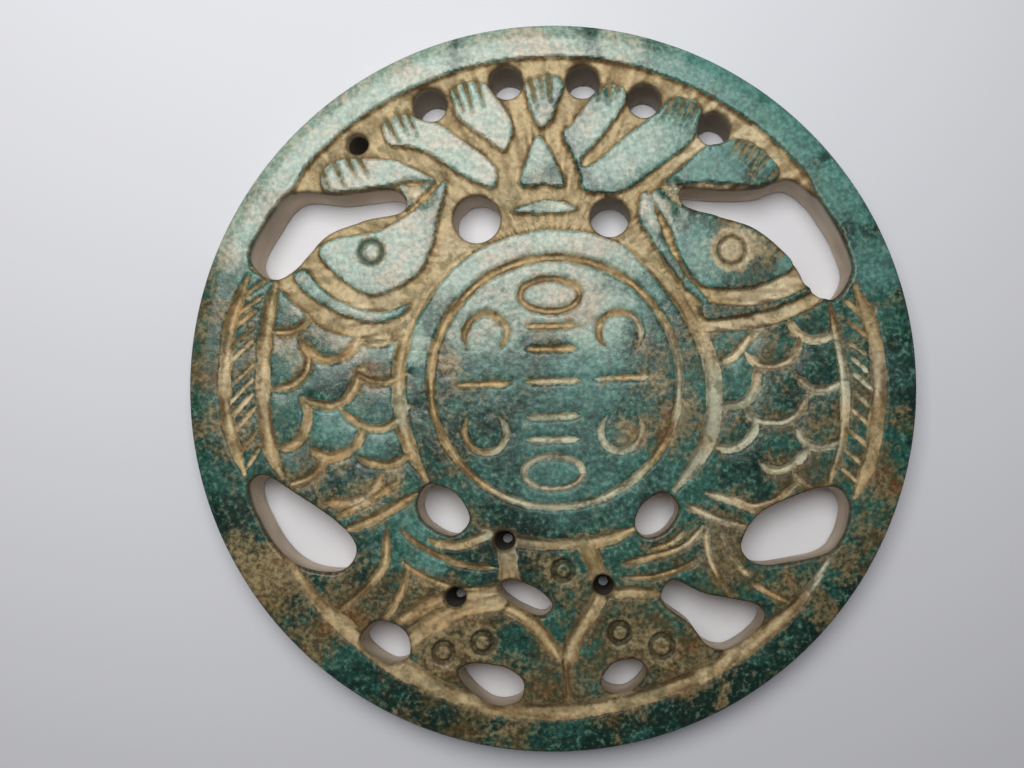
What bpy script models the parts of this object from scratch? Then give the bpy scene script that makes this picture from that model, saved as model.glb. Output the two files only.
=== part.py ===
"""A round openwork amulet of carved jade, lying face up.

One flat disc with a plain rim. Inside the rim a fan of petals stands at the top, a curled fish on each side and
two leaves at the bottom, all around a ringed roundel, and the ground between them is pierced right through.

The frame is in metres: the origin is the centre of the underside, +Z points up out of the carved face, +Y to the
top of the design and +X to the right of somebody who looks at the face. Places in the design are in field units,
a hundredth of the radius inside the rim, from the disc's centre.
"""

import bmesh
import bpy
import numpy as np

# Driving dimensions, in metres
DIAMETER = 0.070
THICKNESS = 0.006
RIM_WIDTH = 0.0035
FRONT_ROUNDING = 0.0007
BACK_ROUNDING = 0.0004

# Round holes: the drilled ones in the ground, those between the petals' heads, and the two above the roundel
DRILLED_HOLE = 0.0021
FAN_HOLE = 0.0033
LEFT_BOSS_HOLE = 0.0046
RIGHT_BOSS_HOLE = 0.0038

# Widths of the cuts: each is a V, half as deep as it is wide
GROUND_CUT = 0.0020
BORDER_CUT = 0.0014
RIM_CUT = 0.0014
SCALE_CUT = 0.0009
LINE_CUT = 0.0007
HATCH_CUT = 0.0005

# How the cuts are sampled, coarse or fine, and how they run out at their ends
CUT_PITCH = 0.0019
SCALE_PITCH = 0.0014
CURL_PITCH = 0.0011
RING_SIDES = 9
RUN_OUT = 0.22
RUN_OUT_WIDTH = 0.35
CUT_LIFT = 0.00004

FIELD_RADIUS = DIAMETER / 2 - RIM_WIDTH
UNIT = FIELD_RADIUS / 100
DISC_SIDES = 96
HOLE_SIDES = 14
PIERCING_MARGIN = 0.002

JADE = {"colour": (0.045, 0.16, 0.13, 1), "roughness": 0.32, "metallic": 0.0}

# The roundel: its centre, the line inside its raised ring and the cut around it
ROUNDEL = (0.5, 2)
INNER_LINE_RADIUS = 38
SURROUND_RADIUS = 48.5

# Round holes by the size that they share
ROUND_HOLES = [
    (DRILLED_HOLE, [(-60, 75), (-15, -46.5), (-30, -64), (15.3, -60.2)]),
    (FAN_HOLE, [(-37.7, 87), (-14.5, 94), (9, 94.3), (28, 88.5), (49.3, 79.8)]),
    (LEFT_BOSS_HOLE, [(-23.5, 52)]),
    (RIGHT_BOSS_HOLE, [(17.5, 52.5)]),
]

# Openings between the figures, each a smooth outline
OPENINGS = {
    "above_left_fish": [(-79.5, 60), (-66, 59.5), (-50, 61), (-45, 57), (-47.5, 53.8), (-58, 51.5), (-70, 46.5),
                        (-79, 36.5), (-86.5, 33.5), (-92.5, 40), (-87, 51.5)],
    "above_right_fish": [(40, 61.3), (52, 61), (63, 61.5), (73, 64), (83, 55), (91, 38), (86, 27.5), (79, 30),
                         (73, 39), (62, 48.5), (50, 52.7), (40, 56)],
    "below_left_fish": [(-93, -31), (-88.5, -26.3), (-80, -31), (-67, -40), (-60, -48.5), (-65, -55.6),
                        (-77.5, -54), (-86.5, -45.5)],
    "below_right_fish": [(57.3, -48), (62, -39), (73, -33), (86, -30), (90.5, -37), (85.5, -49), (72, -53),
                         (62, -53.3)],
    "left_of_leaves": [(-41.5, -35), (-38, -29.3), (-29.5, -32), (-25.7, -40), (-31, -45), (-39, -41)],
    "right_of_leaves": [(24.9, -41), (27.5, -35), (33.5, -31.7), (38.3, -36.5), (34, -43.5), (28, -45.3)],
    "over_left_leaf": [(-17, -61.5), (-13, -58.5), (-5, -61), (-0.3, -66), (-4, -69.3), (-11.5, -66.2)],
    "beside_left_leaf": [(-59, -76), (-53, -70.7), (-45.5, -74), (-44, -81.5), (-50, -84.3), (-57.5, -80)],
    "under_left_leaf": [(-29, -87.5), (-25, -84), (-15, -85), (-9, -89.5), (-11, -96), (-20, -96.5)],
    "under_right_leaf": [(14.8, -88.5), (19, -83.5), (26, -83), (28.2, -87.5), (22.5, -93), (16, -92)],
    "over_right_leaf": [(33, -62.5), (37, -58.2), (46, -62.3), (62, -66), (63.8, -72), (54.5, -79.5),
                        (47.3, -78.3), (42, -72), (34.5, -66.5)],
}

# The groove inside the rim, as arcs about the disc's centre: radius, first and last angle in degrees
RIM_ARCS = [(98.6, 143, 37), (98.8, 161, 195), (97, 214.5, 328), (98.3, 341, 378)]

# The backs of the fish, as arcs about the roundel's centre
BACK_ARCS = [(88.3, 159, 199), (88.3, 16, -21)]

# Fish scales, as rows about the roundel's centre: row radius, first angle, step, count, and the stretch of each
# scale's rim that is cut, in degrees from the tail's side towards the roundel
SCALE_RADIUS = 9
SCALE_ROWS = [
    (83.5, 163.5, 11.3, 4, 0, 95),
    (69.5, 167, 12.2, 3, -52, 90),
    (54, 170.5, 13.3, 3, -70, 65),
    (82.5, 15.5, -11, 4, -45, 68),
    (69, 11, -13, 3, -82, 60),
    (53.5, 17, -14.6, 3, -95, 12),
]

# Rows of short hatches: the first one's two ends, the last one's two ends, and how many
HATCH_ROWS = [
    ((-69, 66.5), (-66.5, 61), (-59.5, 69.5), (-56.5, 64.5), 4),
    ((-49.5, 81), (-47, 75.5), (-43, 82.5), (-40, 77), 3),
    ((-30, 90.5), (-27.5, 84.5), (-23, 93), (-20.5, 85.5), 3),
    ((-8, 90), (-6.5, 83), (0, 95), (2, 88), 4),
    ((15, 92), (14, 87), (20, 91), (18.5, 85.5), 3),
    ((36, 87), (33, 81), (43.5, 82), (40, 75), 4),
    ((56, 73), (53, 70), (66, 68), (63, 64.5), 5),
]

# Hatches on the fins, as rows between two circles about the roundel's centre: the two radii, first angle, last
# angle, count, and how far round the outer end lies from the inner one
FIN_ROWS = [(91.5, 98, 161, 195, 10, 3.4), (91.5, 97, 17, -18, 9, -2.4)]

# Dots in rings, and the eyes of the fish
RING_RADIUS = 3.3
RING_DOTS = [(3, -55.3), (-33.5, -80.3), (-21.5, -77.3), (20.2, -74.3), (33, -78.3), (-55.5, 41.6), (54.2, 42.2)]

# Freehand cuts by width, each a smooth stroke through a few points
STROKES = [
    (GROUND_CUT, [
        [(-13.5, 60.5), (-13, 68), (-13.5, 76), (-12.5, 84)],
        [(-33, 40), (-35.5, 50), (-33, 60)],
        [(9, -48), (12, -53), (14.5, -57)],
        [(-14, -50), (-13, -57)],
        [(-32, -66.5), (-38, -71.5), (-43, -75.5)],
    ]),
    (BORDER_CUT, [
        [(-57, 72), (-48, 72.2), (-40, 69.5), (-30, 63.5)],
        [(-34, 82.5), (-27, 78.5), (-20, 73.5), (-14.5, 67)],
        [(-17, 90), (-12.5, 84), (-9, 77.5)],
        [(8, 90), (4.5, 84.5), (1, 79.5), (-2, 77)],
        [(26, 84), (19, 78.5), (12, 72.5), (8, 68.5)],
        [(47, 75), (40, 70.5), (32, 65.5), (25, 61.5)],
        [(-4, 79), (1, 73), (5, 66), (7, 60.5)],
        [(-11, 60.5), (0, 61), (10, 60)],
        [(-12.5, 57.2), (0, 58), (9, 57)],
        [(-74.5, 38.5), (-69, 31.5), (-60, 27), (-51, 26.8), (-44, 31), (-39.5, 37)],
        [(-80, 30), (-73, 23.6), (-63, 18.5), (-53, 17), (-45, 20)],
        [(80, 35), (70, 30), (60, 27.5), (46, 28.5)],
        [(80, 28), (72, 23.8), (62, 21), (45, 19)],
        [(12, -66), (9, -73), (5, -80), (4, -88), (4.5, -94)],
        [(-27, -66.5), (-18, -65.8), (-8, -70), (-2, -76.5), (2, -83)],
    ]),
    (SCALE_CUT, [
        [(29.3, 48), (33, 40), (38, 32), (46, 23.7)],
        [(-63, -43), (-52, -38), (-42.8, -32.5)],
        [(-65.6, -38.1), (-57, -34), (-48.2, -29.1)],
        [(-68.6, -34.3), (-61, -34.3), (-55, -31.3), (-52.7, -26.8)],
        [(-50.8, -43), (-51.5, -53), (-57, -60.5), (-65, -67.5)],
        [(-44.5, -54), (-46.5, -62.5), (-52, -70.5)],
        [(-18, -43), (-24, -46), (-31, -47.8), (-37, -46.5)],
        [(-17, -54.5), (-30, -52.7), (-40, -48), (-46.5, -43)],
        [(-46, -53), (-35, -59.3), (-25, -61.4), (-16, -60)],
        [(8, -47), (17, -45.5), (25, -42.5)],
        [(21, -53.1), (32, -50.7), (41, -47), (45.3, -42.1)],
        [(23.3, -57.3), (34, -56.5), (44.5, -51.6)],
        [(46.4, -42), (47.5, -51), (54.4, -63.4)],
        [(50.9, -42.9), (53.5, -50), (58.9, -56.5)],
        [(55, -33), (62, -35.5), (69, -33), (74, -29)],
        [(46.8, -31.9), (55, -34.3), (63.5, -36.8)],
        [(40.7, -35.3), (49, -39.4), (58.5, -42)],
        [(-27, -63), (-21, -62.3)],
        [(18, -63), (24, -62), (31, -62.5)],
    ]),
]

# The roundel's ornament, rows of separate shallow strokes: a loop, curls beside bars, three bars, and so on down
CURL_RADIUS = 6.5
CURLS = [((-20, 16.5), 215, -50), ((19.5, 17), -35, 230), ((-20, -13), -215, 50), ((20, -12.5), 35, -230)]
LOOPS = [((-1, 28.5), 9, 5, 0, 330), ((0, -25.5), 9, 5, 0, -330)]
BARS = [((-8, 19), (7, 19.4)), ((-8, 12), (7, 12.4)), ((-29, 1), (-13, 1.8)), ((-8, 2), (8, 2.6)),
        ((13, 2.9), (29, 3.7)), ((-8, -8.6), (8, -8.2)), ((-8, -15.6), (8, -15.2))]


def reset_scene():
    for obj in list(bpy.context.scene.objects):
        bpy.data.objects.remove(obj, do_unlink=True)


def new_collection(name, hidden=False):
    collection = bpy.data.collections.new(name)
    bpy.context.scene.collection.children.link(collection)
    collection.hide_render = hidden
    return collection


def jade_material():
    material = bpy.data.materials.new("jade")
    material.use_nodes = True
    shader = material.node_tree.nodes["Principled BSDF"]
    shader.inputs["Base Color"].default_value = JADE["colour"]
    shader.inputs["Roughness"].default_value = JADE["roughness"]
    shader.inputs["Metallic"].default_value = JADE["metallic"]
    return material


def arc(centre, radius, first, last, flattening=1.0, pitch=CUT_PITCH):
    """Points along a stretch of a circle, or of an ellipse if it is flattened. Angles are in degrees."""
    length = abs(np.radians(last - first)) * radius * UNIT
    angles = np.radians(np.linspace(first, last, max(4, int(round(length / pitch)) + 1)))
    return np.array(centre) + radius * np.column_stack([np.cos(angles), flattening * np.sin(angles)])


def circle(centre, radius, sides):
    """The corners of a regular polygon."""
    return arc(centre, radius, 0, 360 * (1 - 1 / sides), pitch=2 * np.pi * radius * UNIT / sides)


def polar(centre, radius, degrees):
    angle = np.radians(degrees)
    return np.array([centre[0] + radius * np.cos(angle), centre[1] + radius * np.sin(angle)])


def smooth(points, closed, pitch=CUT_PITCH):
    """Points about a pitch apart on the Catmull-Rom curve through the given ones."""
    points = np.array(points, float)
    ends = (points[-1:], points[:2]) if closed else (points[:1], points[-1:])
    padded = np.concatenate([ends[0], points, ends[1]])
    spans = len(points) if closed else len(points) - 1
    sampled = []
    for start in range(spans):
        before, first, last, after = padded[start:start + 4]
        count = max(2, int(round(np.linalg.norm(last - first) * UNIT / pitch)))
        for t in np.arange(count) / count:
            sampled.append(0.5 * (2 * first + (last - before) * t
                                  + (2 * before - 5 * first + 4 * last - after) * t ** 2
                                  + (3 * first - before - 3 * last + after) * t ** 3))
    if not closed:
        sampled.append(points[-1])
    return np.array(sampled)


def curve_object(name, collection, points, dimensions, closed):
    curve = bpy.data.curves.new(name, "CURVE")
    curve.dimensions = dimensions
    spline = curve.splines.new("POLY")
    spline.points.add(len(points) - 1)
    for point, place in zip(spline.points, points):
        point.co = (*place, 1)
    spline.use_cyclic_u = closed
    obj = bpy.data.objects.new(name, curve)
    collection.objects.link(obj)
    return obj


def made_mesh(curve_obj, collection):
    """The curve object as a closed mesh cutter in its place, with its caps welded on."""
    graph = bpy.context.evaluated_depsgraph_get()
    mesh = bpy.data.meshes.new_from_object(curve_obj.evaluated_get(graph))
    shape = bmesh.new()
    shape.from_mesh(mesh)
    bmesh.ops.remove_doubles(shape, verts=shape.verts, dist=1e-7)
    bmesh.ops.recalc_face_normals(shape, faces=shape.faces)
    shape.to_mesh(mesh)
    shape.free()
    obj = bpy.data.objects.new(curve_obj.name + "_cutter", mesh)
    obj.matrix_world = curve_obj.matrix_world
    obj.hide_render = True
    obj.display_type = "WIRE"
    collection.objects.link(obj)
    bpy.data.objects.remove(curve_obj, do_unlink=True)
    return obj


def pierce(name, collection, outline):
    """A cutter that goes right through the disc along an outline in field units."""
    points = [(x * UNIT, y * UNIT, 0) for x, y in outline]
    obj = curve_object(name, collection, points, "2D", True)
    obj.data.fill_mode = "BOTH"
    obj.data.extrude = THICKNESS / 2 + PIERCING_MARGIN
    obj.location.z = THICKNESS / 2
    bpy.context.view_layer.update()
    return made_mesh(obj, collection)


def groove(name, collection, path, width, closed=False):
    """A V-shaped cut along a path in field units, which runs out thin at both ends."""
    height = THICKNESS + CUT_LIFT
    obj = curve_object(name, collection, [(x * UNIT, y * UNIT, height) for x, y in path], "3D", closed)
    obj.data.twist_mode = "Z_UP"
    obj.data.bevel_depth = width / 2 + CUT_LIFT
    obj.data.bevel_resolution = 0
    obj.data.use_fill_caps = not closed
    if not closed:
        last = len(path) - 1
        for index, point in enumerate(obj.data.splines[0].points):
            from_end = min(index, last - index) / last
            point.radius = min(1, RUN_OUT_WIDTH + (1 - RUN_OUT_WIDTH) * from_end / RUN_OUT)
    bpy.context.view_layer.update()
    return made_mesh(obj, collection)


def make_piercings(collection):
    for diameter, centres in ROUND_HOLES:
        radius = diameter / 2 / UNIT
        for index, centre in enumerate(centres):
            pierce(f"hole_{diameter * 1e4:.0f}_{index}", collection, circle(centre, radius, HOLE_SIDES))
    for name, outline in OPENINGS.items():
        pierce(name, collection, smooth(outline, True))


def make_borders(collection):
    """The cuts that run round: inside the rim, about the roundel and along the backs of the fish."""
    for index, (radius, first, last) in enumerate(RIM_ARCS):
        groove(f"rim_{index}", collection, arc((0, 0), radius, first, last), RIM_CUT)
    for index, (radius, first, last) in enumerate(BACK_ARCS):
        groove(f"back_{index}", collection, arc(ROUNDEL, radius, first, last), BORDER_CUT)
    for name, radius, width in (
        ("inner_line", INNER_LINE_RADIUS, SCALE_CUT),
        ("surround", SURROUND_RADIUS, BORDER_CUT),
    ):
        sides = int(round(2 * np.pi * radius * UNIT / CUT_PITCH))
        groove(name, collection, circle(ROUNDEL, radius, sides), width, closed=True)


def make_scales(collection):
    for row, (radius, first, step, count, tail_side, inner_side) in enumerate(SCALE_ROWS):
        turn = np.sign(step)
        for index in range(count):
            angle = first + index * step
            centre = polar(ROUNDEL, radius, angle)
            tailward = angle + 90 * turn
            sweep = (tailward + turn * tail_side, tailward + turn * inner_side)
            path = arc(centre, SCALE_RADIUS, *sweep, pitch=SCALE_PITCH)
            groove(f"scale_{row}_{index}", collection, path, SCALE_CUT)


def make_hatches(collection):
    for row, (first_a, first_b, last_a, last_b, count) in enumerate(HATCH_ROWS):
        for index, t in enumerate(np.linspace(0, 1, count)):
            ends = [(1 - t) * np.array(a) + t * np.array(b) for a, b in ((first_a, last_a), (first_b, last_b))]
            groove(f"petal_{row}_{index}", collection, [ends[0], sum(ends) / 2, ends[1]], HATCH_CUT)
    for row, (inner, outer, first, last, count, lean) in enumerate(FIN_ROWS):
        for index, angle in enumerate(np.linspace(first, last, count)):
            ends = [polar(ROUNDEL, inner, angle), polar(ROUNDEL, outer, angle + lean)]
            groove(f"fin_{row}_{index}", collection, [ends[0], sum(ends) / 2, ends[1]], HATCH_CUT)


def make_rings(collection):
    for index, centre in enumerate(RING_DOTS):
        ring = circle(centre, RING_RADIUS, RING_SIDES)
        groove(f"ring_{index}", collection, ring, HATCH_CUT, closed=True)


def make_strokes(collection):
    for width, strokes in STROKES:
        for index, points in enumerate(strokes):
            groove(f"stroke_{width * 1e4:.0f}_{index}", collection, smooth(points, False), width)


def make_ornament(collection):
    for index, (centre, first, last) in enumerate(CURLS):
        path = arc(centre, CURL_RADIUS, first, last, pitch=CURL_PITCH)
        groove(f"curl_{index}", collection, path, LINE_CUT)
    for index, (centre, radius, height, first, last) in enumerate(LOOPS):
        path = arc(centre, radius, first, last, height / radius, pitch=CURL_PITCH)
        groove(f"loop_{index}", collection, path, LINE_CUT)
    for index, bar in enumerate(BARS):
        groove(f"bar_{index}", collection, smooth(bar, False, pitch=3 * CUT_PITCH), LINE_CUT)


def make_disc(collection, material):
    bpy.ops.mesh.primitive_cylinder_add(
        vertices=DISC_SIDES, radius=DIAMETER / 2, depth=THICKNESS, end_fill_type="NGON", location=(0, 0, THICKNESS / 2)
    )
    disc = bpy.context.object
    disc.name = "jade_pendant"
    for owner in list(disc.users_collection):
        owner.objects.unlink(disc)
    collection.objects.link(disc)
    disc.data.materials.append(material)
    return disc


def round_edges(disc):
    """The worn edges, rounder around the carved face than around the back."""
    for vertex in disc.data.vertices:
        vertex.co.z += THICKNESS / 2
    disc.location.z = 0
    front = disc.data.attributes.new("bevel_weight_edge", "FLOAT", "EDGE")
    for edge in disc.data.edges:
        heights = [disc.data.vertices[index].co.z for index in edge.vertices]
        if min(heights) > THICKNESS / 2:
            front.data[edge.index].value = 1
        elif max(heights) < THICKNESS / 2:
            front.data[edge.index].value = BACK_ROUNDING / FRONT_ROUNDING
    bevel = disc.modifiers.new("worn_edges", "BEVEL")
    bevel.width = FRONT_ROUNDING
    bevel.segments = 2
    bevel.limit_method = "WEIGHT"
    bevel.use_clamp_overlap = False


def cut_with(disc, name, collection):
    cut = disc.modifiers.new(name, "BOOLEAN")
    cut.operation = "DIFFERENCE"
    cut.solver = "EXACT"
    cut.operand_type = "COLLECTION"
    cut.collection = collection


def main():
    reset_scene()
    parts = new_collection("jade_amulet_pendant")
    piercings = new_collection("piercings", hidden=True)
    cuts = new_collection("cuts", hidden=True)
    disc = make_disc(parts, jade_material())
    round_edges(disc)
    make_piercings(piercings)
    make_borders(cuts)
    make_scales(cuts)
    make_hatches(cuts)
    make_rings(cuts)
    make_strokes(cuts)
    make_ornament(cuts)
    cut_with(disc, "pierced", piercings)
    cut_with(disc, "carved", cuts)


main()
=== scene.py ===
"""The looks of a carved jade amulet: its relief, worn edges, stone and dirt, and the light that it lies in.

The carving is a height field over the disc's face, cut by the same strokes and outlines as the solid. Places
in the design are in field units, a hundredth of the radius inside the rim, x to the right and y to the top.
Lengths of the relief are in millimetres until the mesh is made.
"""

import math
from typing import NamedTuple

import bpy
import numpy as np
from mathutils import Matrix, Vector
from mathutils.geometry import delaunay_2d_cdt


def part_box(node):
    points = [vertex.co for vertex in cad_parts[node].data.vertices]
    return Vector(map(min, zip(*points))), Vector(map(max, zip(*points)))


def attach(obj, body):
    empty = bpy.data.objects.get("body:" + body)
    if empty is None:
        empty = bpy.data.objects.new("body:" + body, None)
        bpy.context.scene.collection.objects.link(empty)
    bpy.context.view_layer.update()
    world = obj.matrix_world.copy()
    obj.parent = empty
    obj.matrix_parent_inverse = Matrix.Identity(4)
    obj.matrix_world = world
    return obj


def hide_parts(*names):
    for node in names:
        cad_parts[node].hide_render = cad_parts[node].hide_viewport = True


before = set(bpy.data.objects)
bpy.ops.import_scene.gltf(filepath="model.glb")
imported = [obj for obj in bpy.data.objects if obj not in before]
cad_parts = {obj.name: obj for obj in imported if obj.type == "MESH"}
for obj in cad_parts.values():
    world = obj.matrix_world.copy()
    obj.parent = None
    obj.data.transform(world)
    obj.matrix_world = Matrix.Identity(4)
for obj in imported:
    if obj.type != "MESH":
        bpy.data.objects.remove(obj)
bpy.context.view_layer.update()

NODE = "jade_pendant"
PIECE = "carved_jade_disc"
MM = 0.001
LOW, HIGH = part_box(NODE)
RADIUS = (HIGH.x - LOW.x) / 2 / MM
THICKNESS = (HIGH.z - LOW.z) / MM
RIM_WIDTH = 3.5
UNIT = (RADIUS - RIM_WIDTH) / 100

# The mesh: pitches and strips in millimetres, and how far the fine points shift as a share of their pitch.
# Plain ground keeps only every COARSE_STEP-th row and column of the fine lattice
FINE_PITCH = 0.185
FINE_SHIFT = 0.16
COARSE_STEP = 2
EDGE_PITCH = 0.26
OUTER_PITCH = 0.364
EDGE_STRIP = 0.13
BACK_PITCH = 1.3
BACK_STRIP = 0.45
WALL_RINGS = 5

# Pitch of the points along what is carved, in millimetres
GROUND_PITCH = 0.8
RING_PITCH = 0.6
BAR_PITCH = 0.6
LINE_PITCH = 0.5
PATH_PITCH = 0.45
CURL_PITCH = 0.35
DOT_PITCH = 0.25

# The relief, in millimetres
FRONT_ROUNDING = 0.5
BACK_ROUNDING = 0.4
HOLE_ROUNDING = 0.34
HOLE_ROUNDING_VARIES = 0.14
RIM_FALL = 0.16
GROUND_DEPTH = 0.78
GROUND_RUN = 0.27
SHOULDER_DROP = 0.02
SHOULDER_WIDTH = 0.15
WORN_DROP = 0.42
APRON_DEPTH = 0.12
APRON_WIDTH = 1.9
FACE_WAVES = 0.035
FACE_DROP = 0.03
FACE_GRAIN = 0.03
PIT_DEPTH = 0.05
SAW_MARK_DEPTH = 0.05
WALL_HOLLOW = 0.09
WALL_WAVES = 0.05
WALL_GRAIN = 0.015

# How far the edges of cuts, openings and patches of colour wander, and how far around a cut counts
WOBBLE = 0.075
OPENING_WOBBLE = 0.07
PATCH_WOBBLE = 1.4
REACH = 1.2
# How far the holes, which were cut from the front, wander sideways on their way to the back
HOLE_LEAN = np.array([0.35, -0.4])

# Cuts: how soft their sides are, the share of their length that runs out, and the streaks along them
SOFTNESS = 0.55
RUN_OUT = 0.16
STREAK_WIDTH = 0.34
STREAK_STRETCH = 0.16
# The ground streaks fan out from a foot on the middle line, in field units. The spread sets how fine they run
FAN_FOOT = 30
FAN_SPREAD = 15
# Slopes that face away from here are darkened with painted shade, in the dark dirt colour
SUNNY_SIDE = (-0.45, 0.89)
# An edge between faces is drawn sharp past this angle, in degrees
SHARP_ANGLE = 58

ROUNDEL = (0.5, 2)
RING_CENTRE = (0.8, 2.2)
RING_RADIUS = 46.3

# Diameter in millimetres, how much narrower in radius the hole is at the back, how much further than the
# openings it leans down the design, how dark its wall is painted as painted shade, and centres
ROUND_HOLES = [
    (2.1, 0.6, 0.0, 0.9, [(-60, 75), (-15, -46.5), (-30, -64), (15.3, -60.2)]),
    (3.3, 0.12, 0.3, 0.5, [(-37.7, 87), (-14.5, 94), (9, 94.3), (28, 88.5), (49.3, 79.8)]),
    (4.6, 0, 0.0, 0.15, [(-23.5, 52)]),
    (3.8, 0, 0.0, 0.5, [(17.5, 52.5)]),
]

OPENINGS = {
    "above_left_fish": [
        (-79.5, 60), (-66, 59.5), (-50, 61), (-45, 57), (-47.5, 53.8), (-58, 51.5), (-70, 46.5),
        (-79, 36.5), (-86.5, 33.5), (-92.5, 40), (-87, 51.5),
    ],
    "above_right_fish": [
        (40, 61.3), (52, 61), (63, 61.5), (73, 64), (83, 55), (91, 38), (86, 27.5), (79, 30), (73, 39),
        (62, 48.5), (50, 52.7), (40, 56),
    ],
    "below_left_fish": [
        (-93, -31), (-88.5, -26.3), (-80, -31), (-67, -40), (-60, -48.5), (-65, -55.6), (-77.5, -54),
        (-86.5, -45.5),
    ],
    "below_right_fish": [
        (57.3, -48), (62, -39), (73, -33), (86, -30), (90.5, -37), (85.5, -49), (72, -53), (62, -53.3),
    ],
    "left_of_leaves": [(-41.5, -35), (-38, -29.3), (-29.5, -32), (-25.7, -40), (-31, -45), (-39, -41)],
    "right_of_leaves": [(24.9, -41), (27.5, -35), (33.5, -31.7), (38.3, -36.5), (34, -43.5), (28, -45.3)],
    "over_left_leaf": [(-17, -61.5), (-13, -58.5), (-5, -61), (-0.3, -66), (-4, -69.3), (-11.5, -66.2)],
    "beside_left_leaf": [(-59, -76), (-53, -70.7), (-45.5, -74), (-44, -81.5), (-50, -84.3), (-57.5, -80)],
    "under_left_leaf": [(-29, -87.5), (-25, -84), (-15, -85), (-9, -89.5), (-11, -96), (-20, -96.5)],
    "under_right_leaf": [(14.8, -88.5), (19, -83.5), (26, -83), (28.2, -87.5), (22.5, -93), (16, -92)],
    "over_right_leaf": [
        (33, -62.5), (37, -58.2), (46, -62.3), (62, -66), (63.8, -72), (54.5, -79.5), (47.3, -78.3),
        (42, -72), (34.5, -66.5),
    ],
}

# The sunk ground around the petals and the heads of the fish. Its rim side is an arc, listed by its angles
GROUND_ARC = (101.4, 138.5, 41.5)
GROUND_FOOT = [
    (78, 64), (84, 50), (86, 36), (84, 30), (81.5, 26.3), (77, 23.8), (71, 20.8), (63, 18.7), (55, 17.7),
    (46, 16.7), (40, 12), (0, 5), (-36, 12), (-43, 18), (-49, 15), (-56.5, 15), (-64, 16), (-71, 19),
    (-76.5, 23.5), (-81.5, 28), (-85.5, 34), (-89, 40), (-87, 50), (-81, 58),
]

# What stands up out of that ground
ISLANDS = {
    "petal_1": [
        (-70.6, 65.8), (-69.4, 60.4), (-62, 60.4), (-52, 61.8), (-44, 63.5), (-36, 63.4), (-40, 65.8),
        (-46.5, 69), (-53, 70), (-59.5, 70), (-66, 69.4),
    ],
    "petal_2": [
        (-52, 80), (-50.4, 74.7), (-44, 73.8), (-38, 71.8), (-31, 67.2), (-25, 63.8), (-18.8, 61.4),
        (-17.2, 63), (-17.3, 66.4), (-19.2, 69.4), (-25, 73.6), (-31, 78.2), (-35.5, 80.8), (-40.5, 82),
        (-44.4, 83.4), (-48.6, 82.8),
    ],
    "petal_3": [
        (-31.2, 91), (-30.4, 87), (-29.5, 83.6), (-26, 80.2), (-21, 76.5), (-16.2, 72.8), (-14.2, 73.4),
        (-12.6, 78.6), (-12.8, 81), (-15, 85.5), (-18, 89.6), (-21, 93), (-26, 93.6),
    ],
    "petal_4": [
        (-8.4, 93), (-7.8, 88), (-6.2, 83), (-3.8, 79.6), (-0.8, 81.8), (1.2, 87), (3.4, 92.4), (1.4, 95.2),
        (-3.4, 95.4),
    ],
    "petal_5_and_6": [
        (9.8, 86.8), (6, 81.2), (2.8, 77.8), (5.6, 72), (8, 66), (9.4, 60.6), (14, 60), (20, 60),
        (24.5, 62), (31, 67), (38, 72), (43, 77), (44.8, 82), (44.4, 87), (40, 88.8), (36, 88.6),
        (33, 85.6), (28.4, 81.6), (22, 76.8), (16, 71.6), (11.6, 68.2), (8.6, 68), (8.8, 70.6), (13, 75.2),
        (17.4, 80.4), (21, 86), (22.2, 90.6), (18.4, 92.8), (13.6, 91.2),
    ],
    "petal_7": [
        (33.5, 62.8), (38.5, 66.6), (43, 71), (46.6, 73.8), (52, 75.4), (57.4, 76), (62.6, 73.6),
        (66.4, 70.2), (68.8, 66.4), (67, 63), (62, 61.9), (54, 62.6), (46, 63.2), (39, 62.6),
    ],
    "base_leaf": [(-4.3, 77), (-8.4, 69), (-10, 62.3), (-3, 62.2), (3.3, 62.2), (0.8, 69.5)],
    "left_head": [
        (-32.8, 63.3), (-35.3, 51.8), (-37.2, 43.4), (-41, 35.8), (-47.1, 31.3), (-53.2, 29.2),
        (-59.2, 29.8), (-65, 34), (-71.4, 41.3), (-67, 45.6), (-60, 46.7), (-52, 48.5), (-44, 53.3),
        (-38, 58.3),
    ],
    "left_gill": [
        (-79.3, 34.3), (-75.5, 36.2), (-71.4, 31.3), (-65.3, 26.8), (-57.7, 23.9), (-50.9, 23.5),
        (-44.2, 26), (-43.8, 24.6), (-48, 21.8), (-54, 20.5), (-61, 21.4), (-68.3, 24.5), (-75, 29),
    ],
    "right_head": [
        (29.8, 58.2), (35.4, 49.5), (39.2, 39.6), (44.5, 32.3), (51, 30.6), (59, 30.8), (67, 33.3),
        (73, 37.6), (68.5, 45), (62, 49.5), (50, 54), (40, 57), (35, 60.3), (31, 60.5),
    ],
    "right_gill": [
        (45.5, 26), (55, 25.3), (64, 25.8), (72, 28.4), (78, 31.6), (78.5, 29.8), (71, 26.1), (63, 23.5),
        (54, 22), (46.4, 21.5),
    ],
    "right_jaw": [
        (27, 59.6), (29.6, 58.8), (31.5, 52), (35.5, 42), (42, 32.8), (46.8, 27), (46, 25.6), (39.5, 32),
        (33.5, 40), (28.2, 48), (26, 53),
    ],
    "lens": [(-12.5, 54), (-5, 57.2), (1, 57.4), (7, 55.2), (2, 53.9), (-5, 53.6)],
    "left_corner": [(-46.8, 61.6), (-43, 61.7), (-37.5, 62.4), (-40.5, 59), (-45, 54.6), (-44.4, 57.5)],
    "right_corner": [(32.5, 61.3), (38.5, 61.8), (39.5, 56.5), (36.5, 59.8)],
}

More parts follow.
